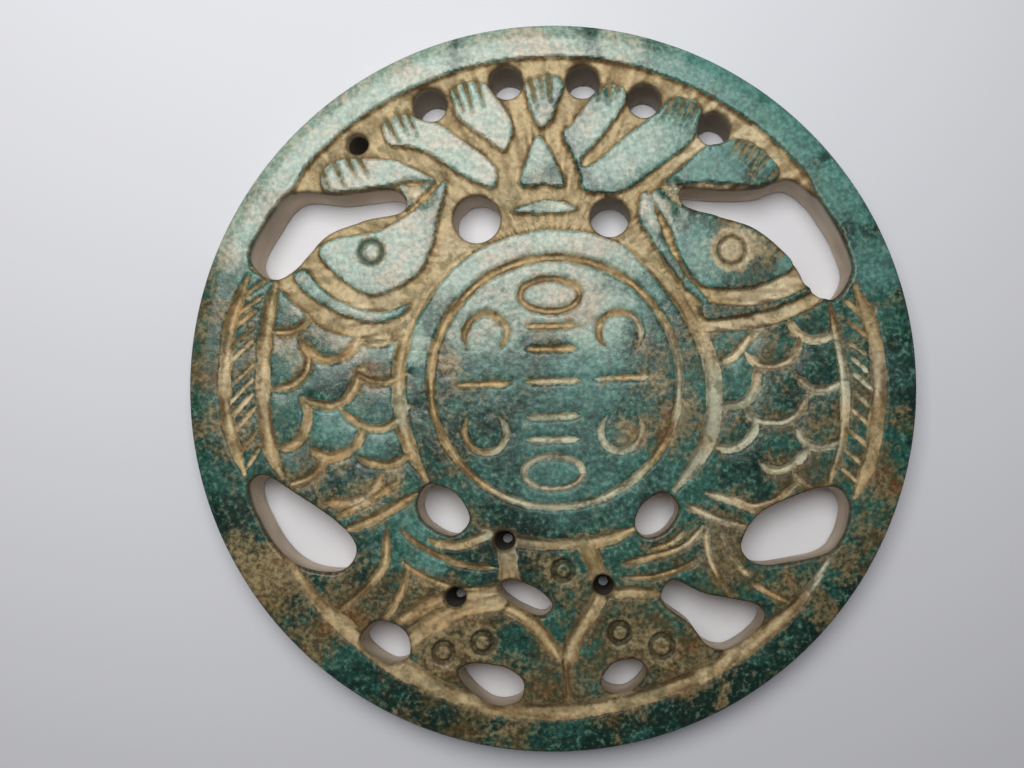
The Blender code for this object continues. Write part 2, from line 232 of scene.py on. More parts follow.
# Freehand cuts: each kind has its depth in millimetres, and each stroke its width and its points
STROKES = {
    "rim": (0.65, [
        (4.2, [(-93, 34), (-97.5, 22), (-99.8, 8), (-99.6, -5), (-98, -14), (-94, -26)]),
        (5.0, [(92, 31), (97, 18), (99, 4), (98.4, -10), (96.5, -20), (92, -33)]),
        (5.6, [(-82, -50), (-75, -60.5), (-66, -70), (-54, -80.5), (-42, -88), (-26, -94.6), (-10, -97.8),
               (5, -98), (20, -95.6), (35, -91.2), (48, -85.6), (63, -75.5), (75, -64.5), (84, -52)]),
        (3.2, [(-87, 33), (-88, 36), (-92, 37)]),
    ]),
    "border": (0.68, [
        (4.6, [(-24, 44), (-33, 37), (-39, 29), (-44, 20), (-47, 6), (-46.7, -6), (-43.8, -18),
               (-38.5, -28)]),
        (5.2, [(21, 45), (28.6, 39.5), (35.2, 32.5), (43, 20), (47.6, 9), (49, -5), (46, -17.8),
               (37, -30.7)]),
        (4.2, [(-22, -42.5), (-12, -46), (-2, -47.3), (8, -47), (17, -45.5), (25, -42.5)]),
        (4.5, [(-84.5, 32), (-87, 20), (-88.2, 6), (-88, -8), (-86, -19), (-82.5, -27)]),
        (3.3, [(84, 26), (87.5, 10), (88.8, -4), (87.8, -17), (84, -29)]),
        (4.4, [(-17, -66.2), (-11, -68.4), (-5.5, -72.4), (-1.2, -78), (1.8, -82.6)]),
        (3.8, [(17.5, -62.6), (24, -62), (32, -62.6)]),
        (5.4, [(15, -60.5), (12.6, -66), (9.6, -71.5), (6, -78), (4, -84.5)]),
        (2.6, [(3.6, -82), (4, -87), (4.6, -96)]), (5.0, [(57, -78), (50, -84.5), (42, -87.5)]),
        (5.6, [(-60, -73.5), (-52, -79.5), (-43, -86), (-34, -91.5), (-26, -95)]),
    ]),
    "bed": (0.6, [
        (5.6, [(9, -46.5), (11.8, -52), (14.7, -58)]), (6.2, [(-14.8, -46), (-13.8, -53), (-13.4, -60)]),
        (4.6, [(-46, -70), (-38, -65.2), (-30, -63.4), (-22, -62.2), (-15, -60.5)]),
        (7.4, [(-46.5, -78), (-40, -73.2), (-33, -68.6), (-26, -66), (-17, -65)]),
    ]),
    "scale": (0.46, [
        (3.2, [(-85.6, 17.2), (-81, 17.2), (-77, 18.7), (-73.3, 22.5)]),
        (3.2, [(-86, -0.5), (-80, 1), (-76, 4), (-74.5, 8), (-75.5, 12), (-77.5, 15.5)]),
        (3.2, [(-84.5, -17.8), (-80, -17.5), (-76.5, -14.5), (-74.8, -10), (-75, -6), (-77, -3)]),
        (3.2, [(-79.5, -29), (-75, -27.5), (-71.5, -25), (-70, -22), (-71, -19.5)]),
        (3.2, [(-77, 14), (-73.5, 10.5), (-69, 9), (-64.5, 9.7), (-61, 12.5), (-59.3, 16)]),
        (3.2, [(-77, -2.5), (-73, -4.5), (-67, -5), (-62.5, -2.5), (-60, 2), (-59, 6)]),
        (3.2, [(-73.5, -18.5), (-69, -21), (-64.5, -20), (-60.5, -17.5), (-58.5, -14), (-58, -11)]),
        (2.2, [(-59.6, 14.4), (-53, 13.6), (-45, 16.5)]),
        (2.8, [(-60.5, 5), (-55, 2.2), (-50, 2.2), (-45.5, 4.8)]),
        (2.8, [(-65, -6), (-61, -9.5), (-57, -11.8), (-52, -12), (-48, -10), (-44, -5)]),
        (2.8, [(-60, -20.5), (-56, -22.5), (-51, -23.3), (-47, -22), (-43.5, -19.5)]),
        (3.4, [(-69.5, -34.6), (-61, -34.3), (-55, -31.3), (-52.5, -26.3)]),
        (3.2, [(71.5, 21), (74.5, 17), (79, 15), (85, 15.8)]),
        (3.2, [(74, 4), (78, 0.3), (83, -0.3), (88, 2)]),
        (3.2, [(73.5, -11), (76, -15.5), (80, -17.8), (85, -17), (89, -15.2)]),
        (3.2, [(73, -25), (75.5, -28), (79, -30), (84, -29)]),
        (3.2, [(58.6, 11), (62, 7.5), (66, 6.7), (71, 8), (74, 11), (75, 15.5)]),
        (3.2, [(58.3, -6.4), (61.5, -9.5), (66, -10.5), (71, -9.8), (75, -7), (77.2, -2)]),
        (3.2, [(62.5, -22), (66, -24.5), (70, -24.5), (74.5, -22), (77.3, -18)]),
        (3.2, [(51, 8), (56, 11), (60.5, 17)]),
        (3.2, [(50.5, -5.5), (56, -5), (60, -2.5), (62, 2), (62, 6.5)]),
        (3.2, [(50, -18), (54, -18.2), (58, -16.5), (61, -13), (62, -10.2)]),
    ]),
    "tail": (0.48, [
        (3.2, [(-66, -38.6), (-59.5, -35.9), (-53.5, -32.1), (-47.5, -28.6)]),
        (3.4, [(-63.5, -43.2), (-56, -40.2), (-49, -36.5), (-41.5, -32)]),
        (3.2, [(-50.8, -43), (-51, -51), (-54, -57.5), (-59, -62.5), (-66, -68.3)]),
        (2.8, [(-44.5, -54), (-45.5, -60), (-48, -65.5), (-52.5, -71)]),
        (3.2, [(-18, -43.5), (-24, -46), (-31, -47.8), (-38, -46)]),
        (2.3, [(-17, -54.6), (-25, -54), (-32, -52), (-38, -49.3), (-43, -46), (-47, -42.3)]),
        (2.4, [(-46, -52.8), (-41, -56.5), (-35, -59.3), (-27, -61.2), (-16, -60)]),
        (2.6, [(54, -32.6), (60, -35.5), (66, -34.5), (71, -31.5), (74.5, -28.6)]),
        (2.7, [(46.3, -31.7), (53.6, -33.8), (60.4, -36.6), (64.5, -36.6)]),
        (2.7, [(40.4, -35), (46, -38), (51.5, -40.2), (59.5, -42)]),
        (2.5, [(46.4, -41.6), (47.2, -50.5), (50.6, -58.1), (55, -64)]),
        (2.3, [(50.9, -42.5), (52.5, -48.2), (55.9, -53.5), (59.6, -57)]),
        (2.2, [(60.6, -59.3), (65.8, -62.2), (71.8, -65.2)]),
        (2.6, [(21, -53.3), (27.8, -51.6), (35.4, -49.7), (41.5, -46.7), (45.6, -41.6)]),
        (2.2, [(22, -57.6), (30.8, -57.3), (38.4, -55), (45, -51.2)]),
        (1.8, [(40, -43), (36, -47), (29, -49)]),
    ]),
    "petal": (0.42, [
        (2.0, [(-71.2, 68.4), (-67.9, 60.2)]), (2.2, [(-67.8, 71), (-63.2, 60.8)]),
        (2.2, [(-63.4, 71.4), (-60, 64.2)]), (2.0, [(-59.9, 71.4), (-56.4, 64.5)]),
        (2.0, [(-51.4, 82.6), (-46.9, 75)]), (2.0, [(-47.8, 84.6), (-44.3, 77.2)]),
        (2.0, [(-44.8, 85), (-41.4, 77)]), (2.0, [(-30.6, 92.6), (-27.5, 84.4)]),
        (2.0, [(-27.6, 94), (-24.4, 84.2)]), (2.0, [(-24, 94.8), (-20.9, 86)]),
        (2.2, [(-7.2, 94.6), (-4.9, 85.4)]), (1.6, [(-4.4, 95.8), (-3, 88.6)]),
        (2.0, [(-1.8, 96.2), (-0.8, 87.4)]), (1.8, [(14.6, 92.8), (13.7, 88)]),
        (2.0, [(17.2, 93.6), (17, 86.4)]), (1.6, [(19.8, 93.4), (19.2, 88.8)]),
    ]),
    "scratch": (0.24, [
        (1.5, [(36.4, 88), (33, 81.2)]), (1.2, [(38, 87.4), (35.4, 82)]), (1.5, [(39.8, 88), (37, 79.8)]),
        (1.2, [(42, 87), (39.2, 80.6)]), (1.5, [(44, 86.6), (40.6, 79.2)]), (1.5, [(57, 75.6), (53, 70)]),
        (1.2, [(59.4, 74.4), (55.6, 68.4)]), (1.5, [(61.4, 73.8), (57.2, 67.4)]),
        (1.2, [(63.4, 72), (59.6, 66.2)]), (1.5, [(65.4, 70.4), (60.8, 64.8)]),
        (1.5, [(68.4, 67), (64.6, 63)]),
    ]),
    "hatch": (0.2, [
        (1.8, [(-94.5, 28.2), (-87.5, 33)]), (1.5, [(-97.5, 21.8), (-88.5, 28)]),
        (1.8, [(-98.5, 17.6), (-90, 24)]), (1.3, [(-102, 9.6), (-91, 19)]), (1.7, [(-100, 7), (-91, 15)]),
        (1.7, [(-98.4, 0.7), (-90.8, 7.7)]), (1.5, [(-98.5, -4.6), (-91, 3.2)]),
        (1.7, [(-98, -9), (-91.2, -1)]), (1.7, [(-97, -13), (-90.5, -5.3)]),
        (1.6, [(-95.5, -19.4), (-90.3, -12.8)]), (1.6, [(-93.4, -24.4), (-89.3, -17.8)]),
        (1.6, [(88.6, 27), (94.4, 21.8)]), (1.6, [(89, 21), (95.4, 15.8)]),
        (1.4, [(90, 13.8), (95.4, 10.2)]), (1.6, [(90.6, 9.4), (95.8, 4.8)]),
        (1.4, [(91.2, 4.6), (97, -0.3)]), (1.6, [(91, -0.6), (97, -6.2)]),
        (1.4, [(90.6, -6), (96.2, -11.4)]), (1.6, [(90, -12.6), (95.6, -17.4)]),
        (1.6, [(89, -18.6), (94.2, -23.4)]), (1.6, [(87.6, -24.2), (92.6, -28.4)]),
    ]),
}

# Rings cut around dots, by the centre, the ring's radius, the cut's width and the depth in millimetres
RING_DOTS = [
    ((-55.5, 41.6), 3.4, 1.9, 0.42), ((54.2, 42.2), 4.1, 1.5, 0.34),
    ((3, -55.3), 2.9, 2.2, 0.42), ((-33.5, -80.3), 3.0, 2.2, 0.42), ((-21.5, -77.3), 3.0, 2.2, 0.42),
    ((20.2, -74.3), 3.0, 2.2, 0.42), ((33, -78.3), 3.4, 2.0, 0.36),
]

# The roundel's line and its ornament: rows of separate shallow strokes that spell nothing
INNER_LINE_RADIUS = 38
INNER_LINE_WIDTH = 2.8
INNER_LINE_DEPTH = 0.45
ORNAMENT_WIDTH = 2.5
ORNAMENT_DEPTH = 0.34
CURLS = [((-20, 16.5), 215, -50), ((19.5, 17), -35, 230), ((-20, -13), -215, 50), ((20, -12.5), 35, -230)]
CURL_START, CURL_END = 7.3, 5.4
LOOPS = [((-1, 28.5), 9, 5), ((0, -25.5), 9, 5)]
BARS = [((-8, 19), (7, 19.4)), ((-8, 12), (7, 12.4)), ((-29, 1), (-13, 1.8)), ((-8, 2), (8, 2.6)),
        ((13, 2.9), (29, 3.7)), ((-8, -8.6), (8, -8.2)), ((-8, -15.6), (8, -15.2))]


def smooth(points, closed, pitch):
    """Points about a pitch apart, in millimetres, on the Catmull-Rom curve through the given field units."""
    points = np.array(points, float) * UNIT
    ends = (points[-1:], points[:2]) if closed else (points[:1], points[-1:])
    padded = np.concatenate([ends[0], points, ends[1]])
    spans = len(points) if closed else len(points) - 1
    sampled = []
    for start in range(spans):
        before, first, last, after = padded[start:start + 4]
        count = max(2, int(round(np.linalg.norm(last - first) / pitch)))
        for t in np.arange(count) / count:
            sampled.append(0.5 * (2 * first + (last - before) * t
                                  + (2 * before - 5 * first + 4 * last - after) * t ** 2
                                  + (3 * first - before - 3 * last + after) * t ** 3))
    if not closed:
        sampled.append(points[-1])
    return np.array(sampled)


def arc(centre, radius, first, last, pitch, flattening=1.0, end_radius=None):
    """Points in millimetres along an arc, of a circle, ellipse or spiral. Angles are in degrees."""
    count = max(6, int(round(math.radians(abs(last - first)) * radius * UNIT / pitch)))
    angles = np.radians(np.linspace(first, last, count + 1))
    radii = np.linspace(radius, radius if end_radius is None else end_radius, count + 1)
    shape = np.column_stack([np.cos(angles), flattening * np.sin(angles)]) * radii[:, None]
    return (np.array(centre) + shape) * UNIT


def noise(points, cell, seed):
    """Smooth random values from -1 to 1, which change over about a cell."""
    size = 256
    table = np.random.default_rng(seed).uniform(-1, 1, (size, size))
    place = points / cell + size / 2
    corner = np.floor(place).astype(int)
    part = place - corner
    part = part * part * (3 - 2 * part)
    x, y = corner[:, 0] % size, corner[:, 1] % size
    x_next, y_next = (x + 1) % size, (y + 1) % size
    low = table[x, y] * (1 - part[:, 0]) + table[x_next, y] * part[:, 0]
    high = table[x, y_next] * (1 - part[:, 0]) + table[x_next, y_next] * part[:, 0]
    return low * (1 - part[:, 1]) + high * part[:, 1]


def fractal(points, cell, seed, octaves=3):
    """Noise with finer and weaker noise on top."""
    total = sum(noise(points, cell / 2 ** k, seed + k) / 2 ** k for k in range(octaves))
    return total / sum(1 / 2 ** k for k in range(octaves))


def step(low, high, value):
    """0 at low, 1 at high, smooth between and steady beyond."""
    t = np.clip((value - low) / (high - low), 0, 1)
    return t * t * (3 - 2 * t)


def near(points, path, reach):
    """Which points are within reach of the path's box."""
    low, high = path.min(0) - reach, path.max(0) + reach
    return np.nonzero(np.all((points >= low) & (points <= high), axis=1))[0]


def path_distance(points, path):
    """For each point, its distance to the path, the nearest place's share of the way, and that place."""
    best = np.full(len(points), np.inf)
    along = np.zeros(len(points))
    place = np.zeros((len(points), 2))
    last = len(path) - 1
    for index in range(last):
        start, run = path[index], path[index + 1] - path[index]
        t = np.clip(((points - start) @ run) / max(run @ run, 1e-12), 0, 1)
        foot = start + t[:, None] * run
        distance = np.linalg.norm(points - foot, axis=1)
        closer = distance < best
        best[closer] = distance[closer]
        along[closer] = (index + t[closer]) / last
        place[closer] = foot[closer]
    return best, along, place


def inside(points, outline):
    """Which points lie inside a closed outline."""
    crossings = np.zeros(len(points), bool)
    x, y = points[:, 0], points[:, 1]
    for (x_a, y_a), (x_b, y_b) in zip(outline, np.roll(outline, -1, axis=0)):
        if y_a == y_b:
            continue
        spans = (y_a > y) != (y_b > y)
        crossings ^= spans & (x < (x_b - x_a) * (y - y_a) / (y_b - y_a) + x_a)
    return crossings


def depth_inside(points, outline, reach=REACH):
    """How deep each point lies inside a closed outline, negative outside and no less than minus the reach."""
    result = np.full(len(points), -reach)
    chosen = near(points, outline, reach)
    distance = path_distance(points[chosen], np.concatenate([outline, outline[:1]]))[0]
    signed = np.where(inside(points[chosen], outline), distance, -distance)
    result[chosen] = np.maximum(signed, -reach)
    return result


def lift(values, chosen, new):
    """Raises the chosen values to the new ones where those are higher."""
    values[chosen] = np.maximum(values[chosen], new)


class Relief:
    """The carved face over a set of points: how deep it is cut, and how far inside a cut each point lies."""

    def __init__(self, points):
        self.points = points
        warp = np.column_stack([fractal(points, 1.7, 11), fractal(points, 1.7, 23)])
        fine_warp = np.column_stack([noise(points, 0.45, 5), noise(points, 0.45, 7)])
        self.warped = points + WOBBLE * warp + 0.35 * WOBBLE * fine_warp
        self.into = np.full(len(points), -REACH)
        self.depth, self.streak, self.apron = np.zeros((3, len(points)))
        self.dotted, self.collar, self.narrow = np.zeros((3, len(points)))

    def ground(self, region, islands):
        """Sinks a region, all but the islands in it, and streaks it from its foot outwards."""
        into = depth_inside(self.warped, region)
        for island in islands:
            into = np.minimum(into, -depth_inside(self.warped, island))
        t = np.clip(into / GROUND_RUN, 0, 1)
        from_foot = self.points - np.array([0, FAN_FOOT]) * UNIT
        reach = np.linalg.norm(from_foot, axis=1)
        turn = np.arctan2(from_foot[:, 1], from_foot[:, 0])
        self.streak = noise(np.column_stack([reach * STREAK_STRETCH, turn * FAN_SPREAD]), STREAK_WIDTH, 97)
        depth = GROUND_DEPTH * (1 + 0.09 * self.streak + 0.12 * fractal(self.points, 2.6, 43))
        self.depth = np.maximum(self.depth, depth * (1 - (1 - t) ** 2.2))
        self.into = np.maximum(self.into, into)

    def stroke(self, path, width, depth, run_out=RUN_OUT, apron=False, one_end=False):
        """Cuts a rounded groove along a path. An apron is the slope down to a scale's edge, outside it."""
        half = width * UNIT / 2
        chosen = near(self.warped, path, max(half + 1.0, APRON_WIDTH if apron else 0))
        points = self.warped[chosen]
        distance, along, place = path_distance(points, path)
        ends = 1.0
        if one_end:
            ends = 0.2 + 0.8 * step(0, 0.9, 1 - along)
        elif run_out > 0:
            ends = 0.38 + 0.62 * step(0, run_out, np.minimum(along, 1 - along))
        local_half = half * ends * (1 + 0.13 * noise(points, 1.3, 31))
        into = local_half - distance
        t = np.clip(into / local_half, 0, 1)
        length = np.sum(np.linalg.norm(np.diff(path, axis=0), axis=1))
        streak = noise(np.column_stack([along * length * STREAK_STRETCH, distance]), STREAK_WIDTH, len(path))
        profile = (1 - SOFTNESS) * (1 - (1 - t) ** 2) + SOFTNESS * t * t * (3 - 2 * t)
        cut = depth * ends * profile * (1 + 0.12 * streak)
        if apron:
            outward = path[len(path) // 2] - (path[0] + path[-1]) / 2
            outside = ((points - place) @ outward) > 0
            fade = np.clip(1 - distance / APRON_WIDTH, 0, 1)
            slope = np.where(outside, fade ** 1.5 * step(0, 0.1, along), 0)
            cut = np.maximum(cut, APRON_DEPTH * slope)
            lift(self.apron, chosen, slope)
        lift(self.depth, chosen, cut)
        lift(self.into, chosen, into)
        self.streak[chosen] = np.where(into > 0, streak, self.streak[chosen])
        if one_end:
            lift(self.narrow, chosen, step(-0.12, 0.05, into))

    def ring_dot(self, path, width, depth):
        """A ring around a dot. It keeps the stone's colour but is painted dark in its groove, and has a tan
        collar of soil colour and painted highlight.
        """
        half = width * UNIT / 2
        chosen = near(self.points, path, half + REACH)
        points = 0.6 * self.points[chosen] + 0.4 * self.warped[chosen]
        into = half - path_distance(points, path)[0]
        t = np.clip(into / half, 0, 1)
        lift(self.depth, chosen, depth * t * t * (3 - 2 * t))
        lift(self.dotted, chosen, step(-0.12, 0.2, into))
        # the collar: tan soil colour and a painted highlight on the ring's outer flank
        lift(self.collar, chosen, step(-0.6, -0.25, into) * (1 - step(-0.12, 0.1, into)))


def sunk_ground():
    """The closed outline of the ground around the petals and heads."""
    radius, first, last = GROUND_ARC
    rim_side = arc((0, 0), radius, first, last, GROUND_PITCH)
    return np.concatenate([rim_side, smooth(GROUND_FOOT, False, GROUND_PITCH)])


def carve_ornament(relief):
    """The roundel's line and what stands in it."""
    line = arc(ROUNDEL, INNER_LINE_RADIUS, 0, 360, LINE_PITCH)
    relief.stroke(line, INNER_LINE_WIDTH, INNER_LINE_DEPTH, run_out=0)
    for centre, first, last in CURLS:
        curl = arc(centre, CURL_START, first, last, CURL_PITCH, 1, CURL_END)
        relief.stroke(curl, ORNAMENT_WIDTH, ORNAMENT_DEPTH)
    for centre, radius, height in LOOPS:
        loop = arc(centre, radius, 0, 360, CURL_PITCH, height / radius)
        relief.stroke(loop, ORNAMENT_WIDTH, ORNAMENT_DEPTH, run_out=0)
    for bar in BARS:
        relief.stroke(smooth(bar, False, BAR_PITCH), ORNAMENT_WIDTH, ORNAMENT_DEPTH)


def carve(points):
    """The whole design's relief over the points."""
    relief = Relief(points)
    islands = [smooth(outline, True, PATH_PITCH) for outline in ISLANDS.values()]
    islands.append(arc(RING_CENTRE, RING_RADIUS, 0, 360, RING_PITCH)[:-1])
    relief.ground(sunk_ground(), islands)
    for kind, (depth, strokes) in STROKES.items():
        run_out = 0 if kind == "bed" else RUN_OUT
        for width, path in strokes:
            relief.stroke(smooth(path, False, PATH_PITCH), width, depth, run_out,
                          apron=kind == "scale", one_end=kind in ("petal", "scratch"))
    for centre, radius, width, depth in RING_DOTS:
        relief.ring_dot(arc(centre, radius, 0, 360, DOT_PITCH), width, depth)
    carve_ornament(relief)
    return relief


class Wall(NamedTuple):
    """How a wall runs to the back: how much narrower and how far aside, and its share of painted shade."""

    taper: float
    lean: np.ndarray
    painted_shade: float


def make_outlines():
    """The disc's edge and every hole, as closed rows of points in millimetres, and how each wall runs."""
    count = int(2 * math.pi * RADIUS / OUTER_PITCH)
    angles = np.arange(count) * 2 * math.pi / count
    edge = RADIUS * np.column_stack([np.cos(angles), np.sin(angles)])
    holes = [smooth(outline, True, EDGE_PITCH) for outline in OPENINGS.values()]
    walls = [Wall(0, np.zeros(2), 0)] + [Wall(0, HOLE_LEAN, 0)] * len(holes)
    for diameter, taper, extra_lean, painted_shade, centres in ROUND_HOLES:
        for centre in centres:
            holes.append(arc(centre, diameter / 2 / UNIT, 0, 360, EDGE_PITCH)[:-1])
            walls.append(Wall(taper, HOLE_LEAN - np.array([0, extra_lean]), painted_shade))
    uneven = []
    for hole in holes:
        shift = np.column_stack([fractal(hole, 1.9, 3), fractal(hole, 1.9, 4)])
        uneven.append(hole + OPENING_WOBBLE * shift)
    return edge, uneven, walls


def lattice(pitch, radius):
    """A staggered lattice of points over a disc, and each point's row and column."""
    rows = int(radius / (pitch * math.sqrt(0.75))) + 2
    columns = int(radius / pitch) + 2
    row, column = np.meshgrid(np.arange(-rows, rows + 1), np.arange(-columns, columns + 1), indexing="ij")
    row, column = row.ravel(), column.ravel()
    points = np.column_stack([(column + 0.5 * (row % 2)) * pitch, row * pitch * math.sqrt(0.75)])
    kept = np.linalg.norm(points, axis=1) < radius
    return points[kept], row[kept], column[kept]


def clear_of(points, loops, margin):
    """Which points keep a margin to every hole, outside it."""
    kept = np.ones(len(points), bool)
    for loop in loops:
        kept &= depth_inside(points, loop, margin * 1.5) < -margin
    return kept


def shifted(loop, distance):
    """A loop moved outwards, by one distance or by a distance for each point."""
    tangent = np.roll(loop, -1, axis=0) - np.roll(loop, 1, axis=0)
    tangent /= np.linalg.norm(tangent, axis=1)[:, None]
    normal = np.column_stack([tangent[:, 1], -tangent[:, 0]])
    if not turns_left(loop):
        normal = -normal
    return loop + np.reshape(distance, (-1, 1)) * normal


def triangulate(loops, points):
    """Triangles over a disc with holes. The loops' points come first, the disc's edge before the holes."""
    flat = np.concatenate([*loops, points])
    edges, start = [], 0
    owner = np.full(len(flat), -1)
    for number, loop in enumerate(loops):
        count = len(loop)
        owner[start:start + count] = number
        edges += [(start + k, start + (k + 1) % count) for k in range(count)]
        start += count
    out = delaunay_2d_cdt([Vector(p) for p in flat.tolist()], edges, [], 0, 1e-7)
    if len(out[0]) != len(flat):
        raise ValueError(f"the triangulation merged points: {len(flat)} became {len(out[0])}")
    faces = np.array(out[2])
    order = np.array([source[0] for source in out[3]])
    faces = order[faces]
    kept = np.ones(len(faces), bool)
    owners = owner[faces]
    same = (owners[:, 0] == owners[:, 1]) & (owners[:, 1] == owners[:, 2]) & (owners[:, 0] > 0)
    for number in np.unique(owners[same, 0]):
        chosen = np.nonzero(same & (owners[:, 0] == number))[0]
        kept[chosen] = ~inside(flat[faces[chosen]].mean(1), loops[number])
    faces = faces[kept]
    a, b, c = (flat[faces[:, k]] for k in range(3))
    turned = (b[:, 0] - a[:, 0]) * (c[:, 1] - a[:, 1]) - (b[:, 1] - a[:, 1]) * (c[:, 0] - a[:, 0]) < 0
    faces[turned] = faces[turned][:, ::-1]
    return flat, faces


def rounded_drop(distance, rounding):
    """How far a rounded edge lies under the face, by the distance to the edge."""
    short = np.clip(rounding - distance, 0, rounding)
    return rounding - np.sqrt(rounding ** 2 - short ** 2)


def edge_distance(points, loops, reach):
    """Distance to the nearest hole, no more than the reach."""
    result = np.full(len(points), reach)
    for loop in loops:
        result = np.minimum(result, -depth_inside(points, loop, reach))
    return np.maximum(result, 0)


def face_points(edge, holes):
    """Points over the face, close together where it is carved and near its edges."""
    points, row, column = lattice(FINE_PITCH, RADIUS - 1.6 * EDGE_STRIP)
    shift = np.column_stack([noise(points, 0.2, 71), noise(points, 0.2, 72)])
    points = points + FINE_SHIFT * FINE_PITCH * shift
    points_clear = clear_of(points, holes, 1.6 * EDGE_STRIP)
    points, row, column = points[points_clear], row[points_clear], column[points_clear]
    relief = carve(points)
    carved = ((relief.into > -0.34) & (relief.into < 0.75)) | (relief.dotted > 0)
    by_edge = (edge_distance(points, holes, 0.8) < 0.7) | (np.linalg.norm(points, axis=1) > RADIUS - 1.0)
    coarse = (row % COARSE_STEP == 0) & (column % COARSE_STEP == 0)
    chosen = carved | by_edge | coarse
    strips = [shifted(edge, -EDGE_STRIP)] + [shifted(hole, EDGE_STRIP) for hole in holes]
    return np.concatenate([*strips, points[chosen]])


def face_heights(points, holes):
    """Heights of the front face over the points, and the shares of dirt, wear, painted shade and painted
    highlight for the stone's colours.
    """
    relief = carve(points)
    radius = np.linalg.norm(points, axis=1)
    to_hole = edge_distance(points, holes, 1.5)
    rounding = HOLE_ROUNDING + HOLE_ROUNDING_VARIES * noise(points, 1.5, 41)
    height = THICKNESS - relief.depth
    height -= SHOULDER_DROP * np.exp(-(relief.into / SHOULDER_WIDTH) ** 2)
    height -= rounded_drop(to_hole, rounding)
    height -= rounded_drop(np.clip(RADIUS - radius, 0, None), FRONT_ROUNDING)
    height -= RIM_FALL * step(0.6, 1, (radius - RADIUS + RIM_WIDTH) / RIM_WIDTH)
    height += FACE_WAVES * fractal(points, 6, 51) - FACE_DROP
    in_cut = step(-0.10, 0.22, relief.into)
    height += FACE_GRAIN * fractal(points, 0.7, 61) * (0.35 + 0.9 * in_cut)
    pits = step(0.5, 0.85, noise(points, 0.42, 81)) * step(-0.1, 0.5, fractal(points, 5, 91))
    height -= PIT_DEPTH * pits
    inside_rim = 1 - step(98, 100, radius / UNIT)
    height -= WORN_DROP * patch_share(points, PATCHES["soil"]) * (1 - in_cut) * inside_rim
    return {
        "height": np.minimum(height, THICKNESS),
        "cut": in_cut,
        # a dark line along the edge of every cut, painted as dirt and as shade
        "line": np.exp(-((relief.into - 0.03) / 0.11) ** 2),
        "streak": relief.streak * in_cut,
        "halo": step(-1.0, 0.1, relief.into),
        "worn": np.maximum(step(-0.24, -0.04, relief.into), relief.dotted),
        "middle": step(0.12, 0.6, relief.into),
        "apron": relief.apron,
        "dotted": relief.dotted,
        "collar": relief.collar,
        "narrow": relief.narrow,
        "brink": 1 - step(0, 0.6, to_hole),
        "pits": pits,
    }


def turns_left(loop):
    """Whether a loop runs counter-clockwise."""
    return np.sum(loop[:, 0] * np.roll(loop[:, 1], -1) - np.roll(loop[:, 0], -1) * loop[:, 1]) > 0


class Shell:
    """Points, triangles and named shares of a closed surface, added a part at a time."""

    def __init__(self, names):
        self.points, self.triangles = [], []
        self.shares = {name: [] for name in names}
        self.total = 0

    def add_points(self, points, **shares):
        start = self.total
        self.points.append(points)
        for name, values in self.shares.items():
            values.append(np.broadcast_to(shares.get(name, 0.0), len(points)))
        self.total += len(points)
        return start

    def add_band(self, upper, lower, count, turned):
        """Triangles between two rings of points, given by their first points."""
        index = np.arange(count)
        following = (index + 1) % count
        band = np.concatenate([
            np.column_stack([upper + index, upper + following, lower + index]),
            np.column_stack([upper + following, lower + following, lower + index]),
        ])
        self.triangles.append(band[:, ::-1] if turned else band)


def into_stone(loop, distance, outer):
    """A loop moved into the stone, which is inwards for the disc's edge and outwards for a hole."""
    return shifted(loop, -distance if outer else distance)


def add_wall(shell, loop, top_start, top_heights, wall, outer):
    """The wall from the front face's ring down to the back. Gives its last ring's first point."""
    turned = turns_left(loop) == outer
    bottom = BACK_ROUNDING * (0.9 + 0.2 * noise(loop, 2, 15))
    upper = top_start
    for share in np.linspace(0, 1, WALL_RINGS + 1)[1:]:
        uneven = WALL_WAVES * fractal(loop + 2 * share, 1.6, 17)
        uneven = uneven + WALL_GRAIN * noise(loop + 9 * share, 0.5, 19)
        uneven = np.abs(uneven) if outer else uneven + WALL_HOLLOW * math.sin(math.pi * share)
        inwards = uneven * step(0, 0.15, share) * step(1, 0.8, share) - wall.taper * share
        ring = into_stone(loop, inwards, outer)
        heights = top_heights * (1 - share) + bottom * share
        places = np.column_stack([ring + share * wall.lean, heights])
        lower = shell.add_points(places, wall=0.0 if outer else 1.0, grime=wall.painted_shade)
        shell.add_band(upper, lower, len(loop), turned)
        upper = lower
    return upper


def build_disc():
    """The closed disc: its points, its triangles and the shares of each point."""
    edge, holes, walls = make_outlines()
    loops = [edge] + holes
    flat, faces = triangulate(loops, face_points(edge, holes))
    shares = face_heights(flat, holes)
    heights = shares.pop("height")
    shell = Shell([*shares, "wall", "grime"])
    shell.add_points(np.column_stack([flat, heights]), **shares)
    shell.triangles.append(faces)

    top_start, wall_feet = 0, []
    for number, loop in enumerate(loops):
        count = len(loop)
        top_heights = heights[top_start:top_start + count]
        wall_feet.append(add_wall(shell, loop, top_start, top_heights, walls[number], number == 0))
        top_start += count

    back_loops = [into_stone(edge, BACK_ROUNDING, True)]
    back_loops += [into_stone(hole, BACK_ROUNDING - wall.taper, False) + wall.lean
                   for hole, wall in zip(holes, walls[1:])]
    back_flat, back_faces = triangulate(back_loops, back_points(back_loops))
    back_start = shell.add_points(np.column_stack([back_flat, back_height(back_flat, back_loops)]))
    shell.triangles.append((back_faces + back_start)[:, ::-1])
    for number, (loop, foot) in enumerate(zip(loops, wall_feet)):
        shell.add_band(foot, back_start, len(loop), turns_left(loop) == (number == 0))
        back_start += len(loop)
    return (np.concatenate(shell.points), np.concatenate(shell.triangles),
            {name: np.concatenate(values) for name, values in shell.shares.items()})


